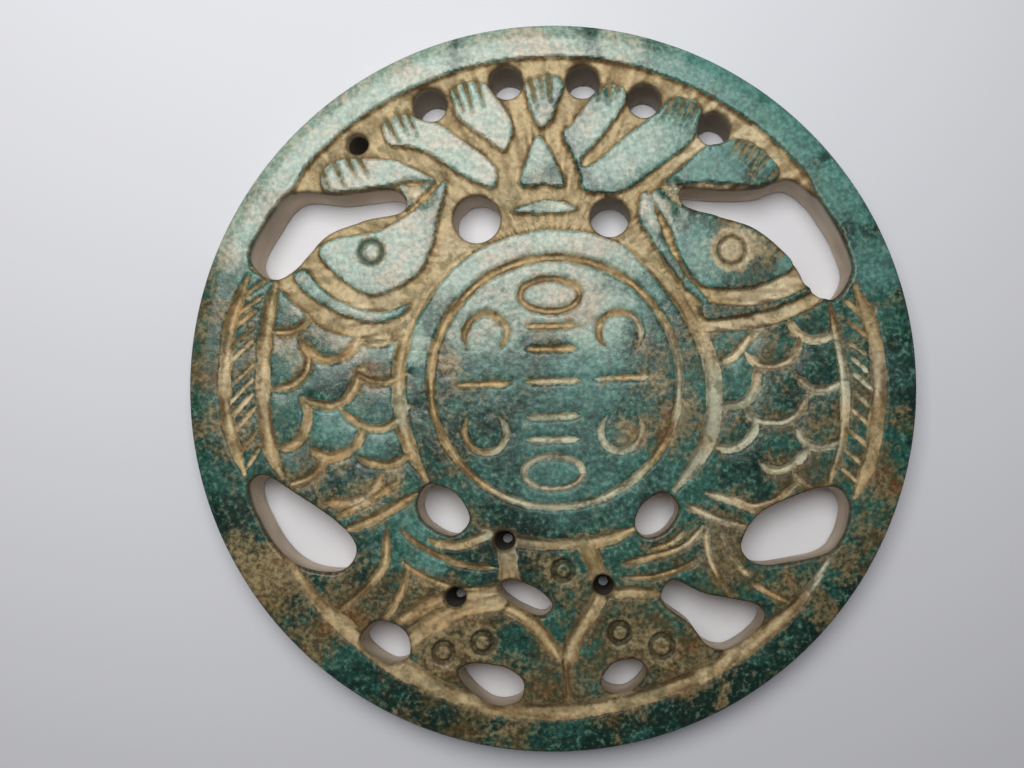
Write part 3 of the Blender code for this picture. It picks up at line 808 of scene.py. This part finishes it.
def back_points(loops):
    """Points over the back, with a strip along each loop."""
    margin = 2 * BACK_STRIP
    points, _, _ = lattice(BACK_PITCH, RADIUS - margin)
    strips = [shifted(loops[0], -BACK_STRIP)] + [shifted(loop, BACK_STRIP) for loop in loops[1:]]
    return np.concatenate([*(strip[::2] for strip in strips), points[clear_of(points, loops[1:], margin)]])


def back_height(points, loops):
    """The underside: flat, with a few shallow saw marks that leave it lying on its high places."""
    marks = step(0.25, 0.8, noise(points @ np.array([[0.12, 1.0], [0.02, -0.15]]), 1.1, 29))
    to_edge = np.minimum(edge_distance(points, loops[1:], 1.0), RADIUS - np.linalg.norm(points, axis=1))
    return SAW_MARK_DEPTH * marks * step(0.5, 1.0, to_edge)


PATCHES = {
    # Worn ends of the petals and other low places, filled with soil: place, radius and strength
    "soil": [
        (-71.5, 67.5, 4, 0.7), (-50, 84, 4, 0.6), (-27, 95.5, 4.5, 0.7), (-4, 97.5, 5.5, 0.8),
        (17, 95, 5, 0.8), (41, 90.5, 3, 0.4), (-41, 59, 5, 0.8), (37.5, 59, 4, 0.7), (2, 60, 12, 0.4),
    ],
    # Ochre staining on top of the stone
    "ochre": [
        (-94, 8, 10, 0.8), (-94, 22, 8, 0.8), (-93, -12, 9, 0.7), (55, 43, 9, 1.0), (62, 44, 8, 0.9),
        (-27, -74, 11, 0.7), (-36, -80, 9, 0.9), (24, -78, 11, 0.6), (-4, -52, 6, 0.7), (-46, -100, 7, 0.7),
        (-73, -78, 11, 0.5), (-89, -57, 12, 1.0), (-96, -48, 8, 0.9), (-16, -104, 9, 0.6),
        (36, -84, 8, 0.7), (64, 40, 6, 0.6), (-104, 18, 8, 0.6), (-105, -8, 7, 0.5), (75, 8, 6, 0.4),
        (66, 2, 6, 0.5), (-58, 3, 5, 0.5), (36, -14, 6, 0.6), (100, -30, 8, 0.4), (60, -70, 8, 0.5),
        (-40, -62, 7, 0.7), (-60, -33, 9, 1.0), (-51, -29, 6, 1.0), (-46, -38, 5, 0.7), (13, -50, 5, 0.8),
        (-37, -71, 7, 0.9), (50, -86, 3, 1.0), (51.2, -90, 2.6, 1.0), (50, -94, 2.6, 1.0),
        (49, -98.5, 2.4, 0.9), (57, -32, 6, 0.8), (-33, 43, 6, 0.7), (-62, 15, 7, 0.6), (64, 19, 7, 0.6),
        (-20, -86, 7, 0.6), (8, -58, 6, 0.6), (-72, -28, 6, 0.4), (-104, 40, 6, 0.3), (23, -13, 6, 0.9),
        (31, 0, 7, 0.7), (41, -4, 5, 0.8), (-31, 8, 7, 0.8), (-80, 11, 6, 0.8), (66, -58, 7, 0.6),
        (-66, -22, 6, 0.7), (50, 43, 5, 0.6),
    ],
    # Chalky deposit in the cuts, and painted highlight on the cuts' slopes that face the window
    "chalk_and_highlight": [
        (5, -20, 29, 1.0), (41, -25, 9, 1.0), (86, -58, 14, 0.9), (52, -38, 10, 0.5), (49, -6, 15, 0.9),
        (62, -14, 18, 0.9), (86, 6, 13, 0.7), (-45, -6, 8, 0.6), (-12, -46, 14, 0.6), (20, 44, 16, 0.3),
        (90, -45, 14, 0.4), (30, 12, 14, 0.6), (38, 3, 12, 0.9), (80, -20, 12, 0.7),
    ],
    # Creamy deposit in the cuts
    "cream": [
        (46, -42, 16, 0.9), (62, -48, 12, 0.7), (62, 2, 24, 1.0), (84, 2, 18, 1.0), (74, -24, 12, 0.6),
        (97, 5, 10, 0.8), (92, -50, 10, 0.6), (66, 30, 14, 0.6), (-30, 42, 10, 0.5), (-55, 22, 14, 0.5),
        (-97, 0, 22, 0.5), (50, 70, 22, 0.5), (-60, -32, 8, 0.5), (60, -35, 14, 0.5), (28, 74, 12, 0.4),
    ],
    # Brown staining
    "stain": [
        (57, 44, 8, 0.6), (66, 41, 8, 0.8), (55, 51, 5, 1.0), (71, 38, 5, 0.7), (36, -12, 8, 0.8),
        (24, -14, 6, 0.7), (30, 8, 9, 0.4), (40, 12, 7, 0.5), (8, 22, 6, 0.6), (-4, 15, 7, 0.4),
        (-31, 9, 8, 0.75), (-57, 4, 7, 0.8), (-78, 12, 8, 0.5), (-68, 22, 8, 0.6), (68, -4, 9, 0.6),
        (82, -9, 8, 0.9), (66, 14, 6, 0.5), (74, -24, 9, 0.75), (93, 2, 7, 0.6), (-78, -22, 9, 0.75),
        (-60, -62, 13, 0.6), (-17, -84, 8, 0.6), (28, -76, 17, 1.0), (40, -84, 11, 1.0), (9, -72, 9, 0.5),
        (-5, -54, 7, 0.6), (-104, 20, 9, 0.75), (-107, 6, 9, 0.75), (-104, -14, 9, 0.6),
        (-88, -58, 15, 1.0), (-72, -78, 13, 1.0), (-28, -103, 9, 0.8), (-8, -104, 8, 0.6),
        (12, -74, 8, 0.9), (14, -88, 8, 0.9), (100, -28, 11, 0.95), (98, -42, 10, 0.95), (106, -10, 6, 0.5),
        (92, -52, 9, 0.7), (62, -88, 8, 0.4), (90, 82, 9, 0.5), (66, -55, 10, 0.55), (-96, -8, 7, 0.3),
        (12, -30, 6, 0.2), (-106, 32, 6, 0.4), (72, -66, 8, 0.6), (47, -64, 7, 0.5), (-20, -94, 14, 0.9),
        (20, -97, 12, 0.8), (24, -78, 18, 1.0), (40, -82, 14, 1.0), (-30, -78, 18, 1.0), (0, -90, 12, 0.9),
        (10, -64, 10, 0.8), (54, -52, 12, 0.8), (70, -60, 8, 0.8), (-62, -70, 12, 0.8), (-48, -62, 10, 0.8),
        (36, -66, 8, 0.8), (46, -84, 9, 0.9), (78, -46, 8, 0.6), (-83, -40, 8, 0.5), (34, -50, 10, 0.5),
        (52, -58, 8, 0.6), (84, -66, 9, 0.9), (0, -105, 9, 0.5), (-58, -53, 7, 0.7), (-40, -98, 8, 0.6),
    ],
    # Pale weathering, and painted sheen: the pale wash of the window's reflection over the top of the face
    "pale": [
        (-55, 42, 22, 1.0), (-52, 75, 30, 1.0), (-20, 80, 26, 0.95), (-84, 74, 24, 1.0),
        (-48, 100, 24, 1.0), (-10, 106, 26, 0.95), (20, 78, 22, 0.75), (38, 78, 14, 0.5),
        (30, 104, 16, 0.5), (-25, 40, 20, 0.9), (5, 46, 20, 1.0), (-3, 28, 18, 1.0), (14, 20, 16, 0.9),
        (-22, 20, 14, 0.75), (-98, 50, 16, 0.9), (-18, 44, 14, 1.0), (24, 40, 12, 0.8), (57, 44, 9, 0.6),
        (-60, 23, 14, 0.95), (-76, 28, 9, 0.7), (30, 54, 7, 0.8), (34, 52, 9, 0.45), (33, 34, 10, 0.35),
        (20, 104, 11, 1.0), (-43, 14, 9, 1.0), (48, 41, 10, 0.6),
    ],
    # Clear blue green
    "clear": [
        (52, 92, 16, 1.0), (72, 78, 16, 1.0), (88, 60, 14, 1.0), (98, 40, 12, 0.8), (50, 67, 12, 1.0),
        (20, 74, 16, 0.6), (34, 74, 14, 0.8), (40, 98, 14, 0.8), (12, -24, 22, 0.6), (-14, -22, 16, 0.4),
        (50, 38, 6, 0.6), (41, 45, 9, 1.0), (46, 34, 8, 0.9), (74, 38, 7, 1.0), (-72, 8, 12, 0.3),
        (-55, -14, 12, 0.7), (-66, -10, 10, 0.7), (-70, 26, 8, 0.6), (-20, 6, 16, 0.55), (12, 4, 16, 0.8),
        (0, -14, 20, 0.7), (26, 24, 12, 0.6), (60, 0, 10, 0.4), (78, -6, 8, 0.4), (66, -4, 8, 0.4),
        (-52, -46, 12, 0.3), (-40, -42, 12, 0.5), (32, -24, 12, 0.4), (106, 6, 10, 0.4), (0, -28, 16, 0.75),
        (-100, -2, 8, 0.3), (-40, 8, 8, 0.5), (-80, -20, 8, 0.5), (58, 14, 8, 0.5), (-46, 20, 10, 0.6),
        (-36, -54, 8, 0.9),
    ],
    # Deep green, where the stone is clean
    "deep": [
        (-99, -38, 8, 1.0), (-45, -99, 13, 0.5), (0, -107, 10, 0.7), (-62, -88, 10, 0.5),
        (14, -106, 12, 1.0), (60, -92, 14, 1.0), (92, -62, 12, 0.5), (-30, -100, 9, 0.3),
        (40, -100, 18, 0.9), (76, -80, 16, 0.7), (108, 5, 16, 0.8), (0, -25, 26, 0.65), (-8, -42, 14, 0.7),
        (30, -30, 12, 0.6), (-69, 3, 10, 0.6), (-55, -16, 12, 0.4), (74, 5, 14, 0.5), (96, 40, 12, 0.4),
        (60, -20, 12, 0.5), (-55, -51, 10, 0.6),
    ],
}


def patch_share(points, patches):
    """How much a set of patches covers each point: its strength in the middle, fading to its edge."""
    uneven = points + PATCH_WOBBLE * np.column_stack([fractal(points, 4, 101), fractal(points, 4, 111)])
    share = np.zeros(len(points))
    for x, y, radius, strength in patches:
        distance = np.linalg.norm(uneven - np.array([x, y]) * UNIT, axis=1)
        share = np.maximum(share, strength * (1 - step(0.35, 1.25, distance / (radius * UNIT))))
    return share


def write_shares(mesh, shares):
    for name, value in shares.items():
        attribute = mesh.attributes.new(name, "FLOAT", "POINT")
        attribute.data.foreach_set("value", value.astype(np.float32))


def slope_shares(mesh, points, front):
    """How much each point of the front slopes away from the light, and how steep it is."""
    normals = np.zeros(3 * len(points), np.float32)
    mesh.vertices.foreach_get("normal", normals)
    normals = normals.reshape(-1, 3)
    away = -normals[:, :2] @ np.array(SUNNY_SIDE)
    on_face = np.linalg.norm(points[:, :2], axis=1) < RADIUS - FRONT_ROUNDING
    return {
        "lee_shade": step(0.1, 0.55, away) * front * on_face,
        "steep": step(0.012, 0.10, 1 - np.abs(normals[:, 2])) * front,
    }


def make_piece(material):
    points, triangles, shares = build_disc()
    for name, patches in PATCHES.items():
        shares[name] = patch_share(points[:, :2], patches)
    shares["soil"] = shares["soil"] * (1 - step(98, 101, np.linalg.norm(points[:, :2], axis=1) / UNIT))
    shares["back"] = 1 - step(0.5, 2.5, points[:, 2])
    mesh = bpy.data.meshes.new(PIECE)
    mesh.vertices.add(len(points))
    mesh.vertices.foreach_set("co", (points * MM).astype(np.float32).ravel())
    mesh.loops.add(triangles.size)
    mesh.loops.foreach_set("vertex_index", triangles.astype(np.int32).ravel())
    mesh.polygons.add(len(triangles))
    mesh.polygons.foreach_set("loop_start", np.arange(0, triangles.size, 3, dtype=np.int32))
    mesh.update(calc_edges=True)
    mesh.validate()
    write_shares(mesh, shares)
    write_shares(mesh, slope_shares(mesh, points, shares["back"] < 0.5))
    mesh.shade_smooth()
    mesh.set_sharp_from_angle(angle=math.radians(SHARP_ANGLE))
    mesh.materials.append(material)
    piece = bpy.data.objects.new(PIECE, mesh)
    bpy.context.scene.collection.objects.link(piece)
    print(f"{PIECE}: {len(points)} points, {len(triangles)} triangles")
    return piece


class Nodes:
    """Adds shader nodes to a tree. An input is a number, a colour or another node's socket."""

    def __init__(self, tree):
        self.tree = tree
        self.place = tree.nodes.new("ShaderNodeTexCoord").outputs["Object"]

    def plug(self, node, inputs):
        for key, value in inputs.items():
            if isinstance(value, bpy.types.NodeSocket):
                self.tree.links.new(value, node.inputs[key])
            else:
                node.inputs[key].default_value = value
        return node

    def add(self, kind, inputs, **settings):
        node = self.tree.nodes.new(kind)
        for name, value in settings.items():
            setattr(node, name, value)
        return self.plug(node, inputs)

    def noise(self, size, detail=4, roughness=0.55, distortion=0.0, shift=None):
        """Noise from 0 to 1 whose lumps are about size metres across."""
        place = self.place
        if shift is not None:
            place = self.add("ShaderNodeMapping", {0: place, 1: shift}).outputs[0]
        inputs = {"Vector": place, "Scale": 0.6 / size, "Detail": detail, "Roughness": roughness,
                  "Distortion": distortion}
        return self.add("ShaderNodeTexNoise", inputs).outputs["Fac"]

    def share(self, name):
        return self.add("ShaderNodeAttribute", {}, attribute_name=name).outputs["Fac"]

    def math(self, operation, first, second):
        return self.add("ShaderNodeMath", {0: first, 1: second}, operation=operation).outputs[0]

    def scaled(self, value, factor):
        return self.math("MULTIPLY", value, factor)

    def weighted(self, *terms):
        """The sum of some values or named shares, each times its weight."""
        total = None
        for value, weight in terms:
            part = self.scaled(self.share(value) if isinstance(value, str) else value, weight)
            total = part if total is None else self.math("ADD", total, part)
        return total

    def ramp(self, value, low, high, out_low=0.0, out_high=1.0):
        inputs = {"Value": value, "From Min": low, "From Max": high, "To Min": out_low, "To Max": out_high}
        return self.add("ShaderNodeMapRange", inputs, interpolation_type="SMOOTHSTEP").outputs[0]

    def mix_value(self, share, first, second):
        return self.add("ShaderNodeMix", {0: share, 2: first, 3: second}, data_type="FLOAT").outputs[0]

    def mix(self, share, first, second):
        inputs = {0: share, 6: first, 7: second}
        return self.add("ShaderNodeMix", inputs, data_type="RGBA").outputs[2]

    def coat(self, colour, coat, value, low, high, strength=1.0):
        """A colour with a coat of another, which sets in as the value goes from low to high."""
        share = self.ramp(value, low, high)
        return self.mix(share if strength == 1.0 else self.scaled(share, strength), colour, coat)

    def shaded(self, colour, factor):
        return self.add("ShaderNodeVectorMath", {0: colour, 3: factor}, operation="SCALE").outputs[0]

    def bump(self, height, distance, strength=1.0):
        inputs = {"Height": height, "Distance": distance, "Strength": strength}
        return self.add("ShaderNodeBump", inputs).outputs["Normal"]


DEEP_TEAL = (0.007, 0.027, 0.019, 1)
DARK_TEAL = (0.013, 0.055, 0.041, 1)
MID_TEAL = (0.028, 0.118, 0.090, 1)
CLEAR_TEAL = (0.120, 0.295, 0.255, 1)
LIGHT_TEAL = (0.080, 0.235, 0.185, 1)
# pale weathering, and painted sheen where the window's reflection washes the face
PALE_JADE = (0.300, 0.430, 0.350, 1)
PALE_STONE = (0.460, 0.410, 0.310, 1)
GOLDEN = (0.390, 0.275, 0.130, 1)
SIENNA = (0.430, 0.270, 0.120, 1)
TAN = (0.500, 0.395, 0.225, 1)
OCHRE = (0.330, 0.260, 0.130, 1)
CREAM = (0.600, 0.510, 0.340, 1)
# chalky deposit, and painted highlight on cuts that face the window
CHALK_AND_HIGHLIGHT = (0.480, 0.500, 0.380, 1)
RUST = (0.280, 0.080, 0.015, 1)
BROWN = (0.120, 0.066, 0.024, 1)
OLIVE = (0.085, 0.085, 0.034, 1)
SOIL = (0.210, 0.160, 0.080, 1)
DUN = (0.150, 0.125, 0.058, 1)
# dark dirt, also the colour of painted shade along cut edges and on slopes facing away from the window
DARK_DIRT_AND_SHADE = (0.036, 0.034, 0.015, 1)
# painted shade on the walls of the narrow holes
HOLE_SHADE = (0.022, 0.018, 0.013, 1)
WALL_LIGHT = (0.700, 0.600, 0.480, 1)
WALL_BROWN = (0.510, 0.420, 0.320, 1)
SPECKLE = (0.190, 0.330, 0.240, 1)


def stone_colour(nodes, grit):
    """The polished stone: deep to pale green in clouds, with pale specks."""
    clouds = nodes.noise(0.0055, 6, 0.62, 0.4)
    grain = nodes.noise(0.0009, 7, 0.75, 0.2, (0.3, 0.1, 0))
    tone = nodes.weighted((clouds, 1.0), (grain, 0.8), (grit, 0.4), ("deep", -0.26))
    colour = nodes.coat(DARK_TEAL, MID_TEAL, tone, 0.95, 1.22)
    colour = nodes.coat(colour, LIGHT_TEAL, tone, 1.2, 1.45)
    colour = nodes.coat(colour, DEEP_TEAL, tone, 1.10, 0.85, 0.9)
    clear = nodes.weighted(("clear", 1.0), (grain, 0.9), (clouds, 0.5), (grit, 0.4))
    colour = nodes.coat(colour, CLEAR_TEAL, clear, 1.0, 2.0, 0.8)
    specks = nodes.math("MULTIPLY", nodes.ramp(grit, 0.52, 0.66), nodes.ramp(grain, 0.42, 0.58))
    return nodes.mix(nodes.scaled(specks, 0.4), colour, SPECKLE)


def stained_colour(nodes, colour, grit, veil, fine, crust):
    """Brown staining, which gathers along the cuts."""
    stain = nodes.weighted(("stain", 0.5), (crust, 2.2), (fine, 1.3), (grit, 0.7), ("halo", 0.16),
                           ("dotted", 0.3), ("pale", -0.3), ("deep", -0.25), ("clear", -0.22))
    stain_colour = nodes.coat(BROWN, OLIVE, fine, 0.42, 0.58)
    soil_speck = nodes.weighted((veil, 1.0), (grit, 0.5), (fine, 0.3))
    stain_colour = nodes.coat(stain_colour, SOIL, soil_speck, 0.82, 1.0)
    rusty = nodes.math("MULTIPLY", nodes.ramp(crust, 0.52, 0.57), nodes.ramp(nodes.share("stain"), 0.6, 0.95))
    stain_colour = nodes.mix(nodes.scaled(rusty, 0.45), stain_colour, RUST)
    return nodes.coat(colour, stain_colour, stain, 2.10, 2.55, 0.9)


def weathered_and_sheen_colour(nodes, colour, grit):
    """Pale weathering and painted sheen, then brown and ochre staining, and soil in the worn places."""
    veil = nodes.noise(0.0035, 6, 0.7, 0.5, (0.1, 0.5, 0))
    fine = nodes.noise(0.0006, 6, 0.75, 0.0, (0.2, 0.8, 0))
    crust = nodes.noise(0.0026, 8, 0.78, 0.6, (0.9, 0.4, 0))
    # pale weathering and painted sheen over the top of the face
    pale = nodes.weighted(("pale", 1.0), (veil, 1.0), (fine, 0.5), (grit, 0.3))
    pale_speck = nodes.weighted((grit, 0.5), (fine, 0.5), (veil, 1.0), ("clear", -0.2))
    pale_colour = nodes.coat(PALE_JADE, PALE_STONE, pale_speck, 0.9, 1.14)
    colour = nodes.coat(colour, pale_colour, pale, 1.15, 1.8, 0.9)
    colour = stained_colour(nodes, colour, grit, veil, fine, crust)

    # the ring dots' collars take the ochre colour, partly as a painted highlight
    ochre = nodes.weighted(("ochre", 1.0), ("apron", 0.3), (crust, 1.6), (fine, 1.4), (grit, 0.6),
                           ("collar", 0.8))
    ochre_colour = nodes.coat(SOIL, OCHRE, nodes.weighted((fine, 1.0), (grit, 0.6)), 0.70, 0.92)
    ochre_colour = nodes.coat(ochre_colour, TAN, nodes.share("pale"), 0.1, 0.5)
    colour = nodes.coat(colour, ochre_colour, ochre, 2.15, 3.0, 0.85)
    soil = nodes.weighted(("soil", 1.0), ("apron", 0.5), (fine, 1.4), (grit, 0.6))
    return nodes.coat(colour, TAN, soil, 1.3, 1.8, 0.9)


def dirt_and_highlight_colour(nodes, grit):
    """What fills the cuts: tan soil, chalky or golden by turns, streaked along each cut. The chalky colour is
    partly painted highlight.
    """
    drift = nodes.noise(0.0040, 6, 0.68, 0.3, (0.6, 0.9, 0))
    mottle = nodes.noise(0.0010, 6, 0.65, 0.3, (0.5, 0.3, 0))
    streak = nodes.share("streak")
    tone = nodes.weighted((drift, 0.6), (mottle, 0.4), (streak, 0.2), (grit, 0.25), ("middle", 0.2))
    colour = nodes.coat(GOLDEN, TAN, tone, 0.62, 0.88)
    warm = nodes.weighted(("ochre", 1.0), (drift, 1.0), (streak, 0.15))
    colour = nodes.coat(colour, SIENNA, warm, 0.5, 1.3, 0.6)
    cream = nodes.weighted(("cream", 1.0), (mottle, 0.8), (streak, 0.12))
    colour = nodes.coat(colour, CREAM, cream, 0.55, 1.2, 0.9)
    # chalky deposit and painted highlight in the cuts
    chalk_and_highlight = nodes.weighted(("chalk_and_highlight", 1.0), (mottle, 0.8))
    colour = nodes.coat(colour, CHALK_AND_HIGHLIGHT, chalk_and_highlight, 0.6, 1.2, 0.8)
    colour = nodes.coat(colour, BROWN, tone, 0.70, 0.50, 0.65)
    olive = nodes.weighted((mottle, 1.0), (streak, -0.1), (drift, -0.5))
    colour = nodes.coat(colour, OLIVE, olive, 0.24, 0.06, 0.6)
    colour = nodes.shaded(colour, nodes.ramp(streak, -0.55, 0.55, 0.80, 1.20))
    return nodes.mix(nodes.scaled(nodes.share("narrow"), 0.75), colour, DUN)


def wall_colour(nodes):
    """The inside of the holes: pale clay, painted dark in some as painted shade deep in the narrow holes."""
    clay = nodes.noise(0.004, 2, 0.5, 0.0, (0.5, 0.5, 0))
    return nodes.mix(nodes.share("grime"), nodes.coat(WALL_BROWN, WALL_LIGHT, clay, 0.38, 0.62), HOLE_SHADE)


def new_material(name):
    """A material, its shader and a Nodes for its tree."""
    material = bpy.data.materials.new(name)
    material.use_nodes = True
    tree = material.node_tree
    return material, tree.nodes["Principled BSDF"], Nodes(tree)


# How rough the polished stone is at its smoothest and roughest, and how rough the worn stone is
POLISHED = (0.2, 0.34)
DULL = 0.72
STONE_BUMP = 0.000016


def jade_material():
    material, shader, nodes = new_material("weathered_jade")
    grit = nodes.noise(0.00026, 3, 0.6, 0.0, (0.4, 0.6, 0))
    ragged = nodes.noise(0.0006, 6, 0.7, 0.0, (0.1, 0.2, 0))
    cut = nodes.ramp(nodes.weighted(("cut", 1.0), (ragged, 2.0)), 1.15, 1.75)
    line = nodes.weighted(("line", 1.0), (ragged, 2.6), ("soil", -1.0), ("pale", -0.25))
    lee_shade = nodes.weighted(("lee_shade", 1.0), (ragged, 2.6), ("soil", -0.8), ("pale", -0.6), ("clear", -0.4))
    brink = nodes.weighted(("brink", 1.0), (ragged, 2.0))

    colour = weathered_and_sheen_colour(nodes, stone_colour(nodes, grit), grit)
    colour = nodes.mix(cut, colour, dirt_and_highlight_colour(nodes, grit))
    # dirt and painted shade: a dark line along the edge of every cut
    colour = nodes.coat(colour, DARK_DIRT_AND_SHADE, line, 2.05, 2.6, 0.5)
    # painted shade: slopes that face away from the window are darkened
    colour = nodes.coat(colour, DARK_DIRT_AND_SHADE, lee_shade, 1.5, 2.5, 0.5)
    # the ring dots' grooves, painted dark
    colour = nodes.mix(nodes.scaled(nodes.share("dotted"), 0.6), colour, DARK_DIRT_AND_SHADE)
    colour = nodes.coat(colour, BROWN, brink, 1.4, 2.0, 0.5)
    colour = nodes.mix(nodes.scaled(nodes.share("pits"), 0.6), colour, DARK_DIRT_AND_SHADE)
    shade = nodes.ramp(grit, 0.35, 0.65, 0.76, 1.22)
    colour = nodes.shaded(colour, nodes.mix_value(nodes.scaled(cut, 0.45), shade, 1.0))
    wall = nodes.share("wall")
    colour = nodes.mix(wall, colour, wall_colour(nodes))

    dull = nodes.math("MAXIMUM", nodes.math("MAXIMUM", nodes.share("worn"), wall), nodes.share("steep"))
    nodes.plug(shader, {
        "Base Color": colour,
        "Roughness": nodes.mix_value(dull, nodes.ramp(ragged, 0.38, 0.62, *POLISHED), DULL),
        "Normal": nodes.bump(nodes.weighted((grit, 1.0), (ragged, 0.8)), STONE_BUMP),
        "IOR": 1.62,
        "Specular IOR Level": 0.3,
    })
    return material


PAPER = (0.785, 0.80, 0.865, 1)
PAPER_BUMP = 0.0001
FLOOR_SIZE = 1.2
FLOOR_GAP = 0.00005


def paper_material():
    material, shader, nodes = new_material("pale_paper")
    bump = nodes.bump(nodes.noise(0.002, 5, 0.6), PAPER_BUMP, 0.12)
    nodes.plug(shader, {"Base Color": PAPER, "Roughness": 0.85, "Normal": bump})
    return material


def make_floor():
    bpy.ops.mesh.primitive_plane_add(size=FLOOR_SIZE, location=(0, 0, -FLOOR_GAP))
    floor = bpy.context.object
    floor.name = "paper"
    floor.data.materials.append(paper_material())


# The camera looks straight down. Its height follows from how many pixels of the photograph a metre of the
# disc's outline fills, OUTLINE_DEPTH millimetres under the top
PHOTO_WIDTH, PHOTO_HEIGHT = 1024, 768
DISC_CENTRE_PX = (553.3, 388.7)
DISC_RADIUS_PX = 364.2
OUTLINE_DEPTH = 0.35
FOCAL_PX = 1150
SENSOR = 36
CLIP_START = 0.002


def make_camera():
    pixels_per_metre = DISC_RADIUS_PX / (RADIUS * MM)
    data = bpy.data.cameras.new("camera")
    data.sensor_width = SENSOR
    data.lens = FOCAL_PX / PHOTO_WIDTH * SENSOR
    data.clip_start = CLIP_START
    camera = bpy.data.objects.new("camera", data)
    bpy.context.scene.collection.objects.link(camera)
    camera.location = (
        (PHOTO_WIDTH / 2 - DISC_CENTRE_PX[0]) / pixels_per_metre,
        (DISC_CENTRE_PX[1] - PHOTO_HEIGHT / 2) / pixels_per_metre,
        HIGH.z - OUTLINE_DEPTH * MM + FOCAL_PX / pixels_per_metre,
    )
    bpy.context.scene.camera = camera


# The window faces straight down, beyond the top of the design and a little to its left, in metres
WINDOW_PLACE = (-0.027, 0.069, 0.2)
WINDOW_TARGET = (-0.027, 0.0689, 0)
WINDOW_SIZE = (0.13, 0.103)
WINDOW_POWER = 0.19
WINDOW_COLOUR = (1.0, 0.985, 0.945)
WINDOW_SPREAD = 120
ROOM_COLOUR = (0.95, 0.94, 1.0, 1)
ROOM_STRENGTH = 0.11


def make_window():
    data = bpy.data.lights.new("window", "AREA")
    data.shape = "RECTANGLE"
    data.size, data.size_y = WINDOW_SIZE
    data.energy = WINDOW_POWER
    data.color = WINDOW_COLOUR
    data.spread = math.radians(WINDOW_SPREAD)
    light = bpy.data.objects.new("window", data)
    bpy.context.scene.collection.objects.link(light)
    light.location = WINDOW_PLACE
    light.rotation_euler = (Vector(WINDOW_TARGET) - Vector(WINDOW_PLACE)).to_track_quat("-Z", "Y").to_euler()


def make_room():
    world = bpy.data.worlds.new("room")
    bpy.context.scene.world = world
    world.use_nodes = True
    sky = world.node_tree.nodes["Background"]
    sky.inputs["Color"].default_value = ROOM_COLOUR
    sky.inputs["Strength"].default_value = ROOM_STRENGTH


def main():
    bpy.context.scene.view_settings.view_transform = "Standard"
    make_camera()
    make_window()
    make_room()
    make_floor()
    piece = make_piece(jade_material())
    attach(piece, "root")
    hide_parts(NODE)


main()
